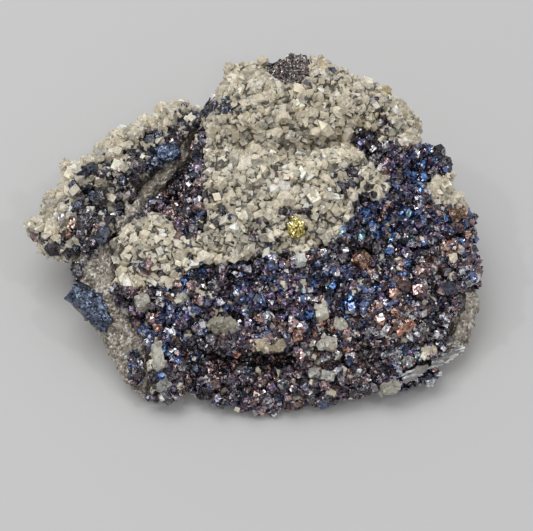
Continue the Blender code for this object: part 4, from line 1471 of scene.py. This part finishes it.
@dataclass(frozen=True)
class SingleCrystal:
    """A larger crystal that stands alone, worn at its edges and studded with small ones.

    Attributes:
        node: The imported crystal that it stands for.
        colour: Its colour.
        studs: Number of small crystals on it.
        stud_size: Smallest and largest of them.
        bevel: Width of its worn edges.
        rough: How far its faces wander.
        foot_colour: Colour of its lower side, or nothing for its own colour.
        stud_colours: Colours of the small crystals, or nothing for its own colour.
    """

    node: str
    colour: RGB
    studs: int = 14
    stud_size: tuple[float, float] = (0.5, 1.1)
    bevel: float = 0.16
    rough: float = 0.35
    foot_colour: RGB | None = None
    stud_colours: dict[Enum, float] = field(default_factory=dict)

    @property
    def mineral(self) -> Mineral:
        """The crystal's mineral, from its node's name."""
        return Mineral.DOLOMITE if self.node.startswith("dolomite") else Mineral.GALENA

    def build(self, site: Site) -> None:
        """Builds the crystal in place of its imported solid."""
        pile = CrystalPile()
        core = self.worn_core(site.nodes[self.node].data)
        is_low = core.normals[:, 2] < FOOT_SLOPE
        tones = np.where(is_low[:, None], self.foot_colour or self.colour, self.colour)
        pile.add(core.points, core.triangles,
                 site.rng.uniform(0.85, 1.15, (len(core.triangles), 1)) * tones)
        self.add_studs(pile, core, site.rng)
        pile.stand_in(self.node, self.node + "_worn",
                      [site.finishes.of[self.mineral]])

    def worn_core(self, source: bpy.types.Mesh) -> Ground:
        """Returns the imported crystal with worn, uneven faces."""
        shape = bmesh.new()
        shape.from_mesh(source)
        bmesh.ops.remove_doubles(shape, verts=shape.verts, dist=0.02 * MM)
        bmesh.ops.dissolve_limit(shape, angle_limit=math.radians(4), verts=shape.verts,
                                 edges=shape.edges)
        bmesh.ops.bevel(shape, geom=shape.edges, offset=self.bevel * MM, segments=2,
                        profile=0.6, affect="EDGES", clamp_overlap=True)
        bmesh.ops.triangulate(shape, faces=shape.faces)
        for _ in range(2):
            long_edges = [edge for edge in shape.edges if edge.calc_length() > 0.5 * MM]
            bmesh.ops.subdivide_edges(shape, edges=long_edges, cuts=1)
            bmesh.ops.triangulate(shape, faces=shape.faces)
        mesh = bpy.data.meshes.new("crystal")
        shape.to_mesh(mesh)
        shape.free()
        points, triangles = mesh_arrays(mesh)
        wander = np.stack([noise_at(points, 0.9, offset) for offset in (1.3, 4.9, 7.7)], axis=1)
        return Ground(moved_out(points, self.rough * wander), triangles)

    def add_studs(self, pile: CrystalPile, core: Ground, rng: np.random.Generator) -> None:
        """Adds the small crystals that grow on it.

        Args:
            pile: The crystal's mesh so far.
            core: The worn crystal.
            rng: Source of the random choices.
        """
        chosen, spots = core.scatter(self.studs, rng)
        size = rng.uniform(*self.stud_size, self.studs)
        centres = spots - core.normals[chosen] * (size * STUD_SUNK * MM)[:, None]
        centres[:, 2] = np.maximum(centres[:, 2], size * MM)
        widths = uneven_widths(size, rng)
        if self.stud_colours:
            anywhere = np.zeros((self.studs, 2))
            colours = pick_colours(Tarnish, self.stud_colours, (), anywhere, rng)
        else:
            colours = np.array(self.colour) * rng.uniform(0.8, 1.2, (self.studs, 1))
        species = SPECIES[self.mineral]
        turns = standing_turns(core.normals[chosen], species.lean, rng)
        pile.add_crystals(species.plain, centres, widths, turns, colours, species.play, rng)


@dataclass(frozen=True)
class BrassyCluster:
    """The cluster of bright brassy crystals.

    Attributes:
        node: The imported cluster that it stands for.
        count: Number of small crystals on it.
        size: Smallest and largest of them.
        widths: Least and greatest factor on each of their widths.
        scatter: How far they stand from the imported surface, about.
        colour: Their colour.
        tones: Darkest and lightest factor on the colour.
    """

    node: str = "chalcopyrite_cluster"
    count: int = 150
    size: tuple[float, float] = (0.25, 0.65)
    widths: tuple[float, float] = (0.5, 1.3)
    scatter: float = 0.08
    colour: RGB = (0.95, 0.76, 0.28)
    tones: tuple[float, float] = (0.45, 1.25)

    def build(self, site: Site) -> None:
        """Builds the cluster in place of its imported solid."""
        core = Ground(*mesh_arrays(site.nodes[self.node].data))
        pile = CrystalPile()
        pile.add(core.points, core.triangles, np.full((len(core.triangles), 3), self.colour))
        rng = site.rng
        chosen = core.choose(self.count, rng)
        spots = core.points[core.triangles[chosen]].mean(axis=1)
        spots += rng.normal(0, self.scatter * MM, (self.count, 3))
        sizes = rng.uniform(*self.size, (self.count, 1))
        sizes = sizes * rng.uniform(*self.widths, (self.count, 3))
        colours = np.array(self.colour) * rng.uniform(*self.tones, (self.count, 1))
        turns = standing_turns(core.normals[chosen], SPECIES[Mineral.GALENA].lean, rng)
        pile.add_crystals(Habit.CUT_CUBE, spots, sizes * MM, turns, colours, BRASS_PLAY, rng)
        pile.stand_in(self.node, "brassy_cluster",
                      [site.finishes.of[Mineral.CHALCOPYRITE]])


@dataclass(frozen=True)
class CalciteSliver:
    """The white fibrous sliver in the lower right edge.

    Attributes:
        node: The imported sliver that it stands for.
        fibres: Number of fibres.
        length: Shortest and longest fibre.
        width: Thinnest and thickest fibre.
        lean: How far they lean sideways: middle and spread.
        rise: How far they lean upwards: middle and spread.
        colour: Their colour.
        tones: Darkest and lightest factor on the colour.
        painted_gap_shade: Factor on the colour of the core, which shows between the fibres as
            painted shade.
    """

    node: str = "calcite_sliver"
    fibres: int = 150
    length: tuple[float, float] = (1.2, 2.8)
    width: tuple[float, float] = (0.16, 0.36)
    lean: tuple[float, float] = (0.32, 0.10)
    rise: tuple[float, float] = (0.0, 0.08)
    colour: RGB = (0.98, 0.96, 0.92)
    tones: tuple[float, float] = (0.55, 1.25)
    painted_gap_shade: float = 0.3

    def build(self, site: Site) -> None:
        """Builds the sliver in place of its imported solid."""
        core = Ground(*mesh_arrays(site.nodes[self.node].data))
        spread = core.points - core.points.mean(axis=0)
        along = np.linalg.svd(spread, full_matrices=False)[2][0]
        side = np.cross(along, (0, 0, 1))
        side /= np.linalg.norm(side)
        up = np.cross(side, along)
        pile = CrystalPile()
        tone = np.array(self.colour)
        # The core is darkened as painted shade between the fibres
        pile.add(core.points, core.triangles,
                 np.full((len(core.triangles), 3), self.painted_gap_shade) * tone)
        rng = site.rng
        chosen = core.choose(self.fibres, rng)
        spots = core.points[core.triangles[chosen]].mean(axis=1)
        lengths = rng.uniform(*self.length, self.fibres)
        widths = rng.uniform(*self.width, (self.fibres, 2))
        lean = rng.normal(*self.lean, (self.fibres, 1))
        rise = rng.normal(*self.rise, (self.fibres, 1))
        ways = along + lean * side + rise * up
        ways /= np.linalg.norm(ways, axis=1, keepdims=True)
        across = np.cross(ways, up)
        across /= np.linalg.norm(across, axis=1, keepdims=True)
        turns = np.stack([ways, across, np.cross(ways, across)], axis=2)
        sizes = np.column_stack([lengths, widths]) * MM
        colours = tone * rng.uniform(*self.tones, (self.fibres, 1))
        pile.add_crystals(Habit.CUBE, spots, sizes, turns, colours, STONE_PLAY, rng)
        pile.stand_in(self.node, "fibrous_sliver",
                      [site.finishes.of[Mineral.CALCITE]])


@dataclass(frozen=True)
class Light:
    """A square light that faces the specimen: name, place and width in metres, and watts."""

    name: str
    place: tuple[float, float, float]
    width: float
    power: float

    def add(self) -> None:
        """Adds the light to the scene."""
        data = bpy.data.lights.new(self.name, "AREA")
        data.size = self.width
        data.energy = self.power
        light = bpy.data.objects.new(self.name, data)
        light.location = self.place
        way = Vector(LIGHT_TARGET_METRES) - Vector(self.place)
        light.rotation_euler = way.to_track_quat("-Z", "Y").to_euler()
        bpy.context.scene.collection.objects.link(light)


@dataclass(frozen=True)
class Studio:
    """Floor, lights and background.

    Attributes:
        floor_colour: Colour of the floor.
        floor_half: Half of the floor's width in metres.
        sky: Strength of the even light.
        lights: A large soft light above, and three small ones that glint.
    """

    floor_colour: RGB = (0.62, 0.62, 0.62)
    floor_half: float = 1.5
    sky: float = 0.50
    lights: tuple[Light, ...] = (
        Light("key_softbox", (-0.10, 0.12, 0.55), 0.40, 1.15),
        Light("glint_left", (-0.30, 0.02, 0.45), 0.03, 0.20),
        Light("glint_right", (0.32, -0.10, 0.50), 0.03, 0.20),
        Light("glint_front", (0.05, -0.45, 0.55), 0.03, 0.20),
    )

    def build(self) -> None:
        """Adds the floor and the lights."""
        self.add_floor()
        world = bpy.data.worlds.new("soft_light")
        world.use_nodes = True
        shade = world.node_tree.nodes["Background"]
        shade.inputs["Color"].default_value = (1.0, 1.0, 1.0, 1)
        shade.inputs["Strength"].default_value = self.sky
        bpy.context.scene.world = world
        bpy.context.scene.view_settings.view_transform = "Standard"
        for light in self.lights:
            light.add()

    def add_floor(self) -> None:
        """Adds the plain pale floor."""
        mesh = bpy.data.meshes.new("floor")
        half = self.floor_half
        mesh.from_pydata([(-half, -half, 0), (half, -half, 0), (half, half, 0), (-half, half, 0)],
                         [], [(0, 1, 2, 3)])
        graph = NodeGraph("pale_floor")
        graph.shader.inputs["Base Color"].default_value = (*self.floor_colour, 1)
        graph.shader.inputs["Roughness"].default_value = 0.9
        graph.shader.inputs["Specular IOR Level"].default_value = 0.2
        mesh.materials.append(graph.material)
        floor = bpy.data.objects.new("floor", mesh)
        bpy.context.scene.collection.objects.link(floor)


GALENA_GROWTHS = (
    Growth(2.8, (1.3, 2.0), 0.25, 420, 0.2),
    Growth(0.95, (0.9, 1.45), 0.22, 8000),
    Growth(0.48, (0.45, 0.85), 0.18, 36000),
)
DOLOMITE_GROWTHS = (
    Growth(4.5, (1.5, 2.0), 0.30, 100, 0.2),
    Growth(0.95, (1.0, 1.55), 0.32, 9500),
    # The small fillers are darkened by 0.76 as painted shade in the gaps between the larger
    # crystals
    Growth(0.62, (0.6, 1.0), 0.34, 12000, 1.5, 0.76),
)
RIM_GROWTHS = (
    Growth(4.0, (1.5, 2.1), 0.36, 100, 0.2),
    Growth(0.95, (1.1, 1.6), 0.34, 9500),
    Growth(0.60, (0.6, 1.0), 0.20, 12000, 1.5),
)
WING_GROWTHS = (
    Growth(2.1, (1.4, 2.2), 0.05, 900, 0.15),
    Growth(1.0, (0.9, 1.6), 0.18, 3000, 1.1),
    Growth(0.6, (0.5, 1.0), 0.15, 9000, 1.4),
)
PATCH_GROWTHS = (
    Growth(0.36, (0.32, 0.60), 0.20, 5000),
)

DRUSES = (
    Druse("galena_patch_top", Mineral.GALENA, PATCH_GROWTHS, guest_share=0.02,
          tarnish=PATCH_SHARES, play=CALM_PLAY, lumps=(0.3, 1.4),
          bed_colour_and_gap_shade=(0.09, 0.08, 0.075)),
    Druse("dolomite_crust_main", Mineral.DOLOMITE, DOLOMITE_GROWTHS, guest_share=0.006,
          guest_zones=DARK_SPOTS, bed_colour_and_gap_shade=(0.10, 0.09, 0.07), tarnish=DULL_SHARES,
          accents=DOLOMITE_ACCENTS, lumps=(0.45, 2.4)),
    Druse("dolomite_crust_right", Mineral.DOLOMITE, DOLOMITE_GROWTHS, guest_share=0.006,
          guest_zones=DARK_SPOTS, bed_colour_and_gap_shade=(0.12, 0.11, 0.09), tarnish=DULL_SHARES,
          accents=RIGHT_ACCENTS, lumps=(0.45, 2.4)),
    Druse("dolomite_crust_wing", Mineral.DOLOMITE, RIM_GROWTHS, guest_share=0.003,
          bed_colour_and_gap_shade=(0.50, 0.46, 0.39), tarnish=DULL_SHARES, lumps=(0.9, 3.8)),
    Druse("galena_crust_wing", Mineral.GALENA, WING_GROWTHS, guest_share=0.55,
          accents=WING_ACCENTS, tarnish=WING_SHARES, tarnish_zones=WING_ZONES),
    Druse("galena_crust_flank", Mineral.GALENA, GALENA_GROWTHS, guest_share=0.05,
          guest_zones=PALE_SPOTS, tarnish_zones=TARNISH_ZONES),
    Druse("galena_crust_main", Mineral.GALENA, GALENA_GROWTHS, guest_share=0.035,
          guest_zones=PALE_SPOTS, voxel=0.6, accents=GALENA_ACCENTS,
          tarnish_zones=TARNISH_ZONES),
)

DARK_STUDS = {Tarnish.CHARCOAL: 5.0, Tarnish.NAVY: 1.5, Tarnish.BROWN: 1.5, Tarnish.STEEL: 1.0}
CORNER_STUDS = {Tarnish.NAVY: 5.0, Tarnish.SLATE: 3.0, Tarnish.BROWN: 2.0}
COPPER_STUDS = {Tarnish.COPPER: 1.0, Tarnish.BRONZE: 3.0, Tarnish.BROWN: 3.0}
SINGLES = (
    SingleCrystal("dolomite_crystal_hexagonal", (0.40, 0.38, 0.33), studs=6, bevel=0.50),
    SingleCrystal("dolomite_crystal_small_left", (0.50, 0.48, 0.42), studs=6),
    SingleCrystal("dolomite_crystal_lobe_foot", (0.54, 0.51, 0.43)),
    SingleCrystal("dolomite_crystal_tan", (0.36, 0.34, 0.27), 44, (0.6, 1.2)),
    SingleCrystal("dolomite_crystal_brown", (0.48, 0.40, 0.28), 30, (0.5, 1.1)),
    SingleCrystal("dolomite_crystal_left_foot", (0.52, 0.50, 0.43), 16, (0.4, 0.9)),
    SingleCrystal("dolomite_crystal_grey_left", (0.30, 0.30, 0.29)),
    SingleCrystal("dolomite_crystal_centre", (0.56, 0.53, 0.45), studs=16, bevel=0.30),
    SingleCrystal("dolomite_crystal_centre_low", (0.60, 0.57, 0.49), studs=14, bevel=0.30),
    SingleCrystal("dolomite_crystal_pale_low", (0.54, 0.51, 0.44), studs=26),
    SingleCrystal("dolomite_crystal_block_1", (0.42, 0.41, 0.38), studs=12),
    SingleCrystal("dolomite_crystal_block_2", (0.44, 0.43, 0.40), studs=12),
    SingleCrystal("dolomite_crystal_right_foot", (0.42, 0.40, 0.34), studs=26),
    SingleCrystal("dolomite_crystal_blue_edge", (0.68, 0.68, 0.66), studs=2),
    SingleCrystal("galena_crystal_corner", (0.082, 0.100, 0.142), 18, (0.3, 0.8), bevel=0.5,
                  rough=0.5, foot_colour=(0.130, 0.085, 0.075), stud_colours=CORNER_STUDS),
    SingleCrystal("galena_crystal_wing_blue", (0.110, 0.140, 0.215), 6, (0.3, 0.6), bevel=0.4,
                  rough=0.3, stud_colours=CORNER_STUDS),
    SingleCrystal("galena_crystal_wing_oval", (0.095, 0.090, 0.100), 30,
                  stud_colours=DARK_STUDS),
    SingleCrystal("galena_crystal_wing_low", (0.095, 0.090, 0.100), 20,
                  stud_colours=DARK_STUDS),
    SingleCrystal("galena_crystal_edge_upper", (0.080, 0.075, 0.080), 18,
                  stud_colours=DARK_STUDS),
    SingleCrystal("galena_crystal_edge_lower", (0.105, 0.115, 0.150), 50,
                  stud_colours=DARK_STUDS),
    SingleCrystal("galena_crystal_orange", (0.40, 0.24, 0.18), 12, (0.4, 0.8),
                  stud_colours=COPPER_STUDS),
    SingleCrystal("galena_crystal_brown", (0.28, 0.18, 0.12), 10, (0.4, 0.8),
                  stud_colours=COPPER_STUDS),
    SingleCrystal("galena_crystal_right_edge", (0.20, 0.135, 0.09), 14, (0.4, 0.9),
                  stud_colours=COPPER_STUDS),
)


def main() -> None:
    """Builds the specimen's looks, its floor, its lights and its camera."""
    logging.basicConfig(level=logging.INFO, format="%(name)s %(message)s")
    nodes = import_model()["nodes"]
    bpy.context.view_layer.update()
    noise.seed_set(SEED)
    view = DisplayView()
    view.add_camera()
    site = Site(nodes, search_tree(nodes["host_rock"]), search_tree(nodes["calcite_sliver"]),
                view, Finishes(), np.random.default_rng(SEED))
    for piece in (HostRock(), *DRUSES, *SINGLES, BrassyCluster(), CalciteSliver()):
        piece.build(site)
    Studio().build()


if __name__ == "__main__":
    main()
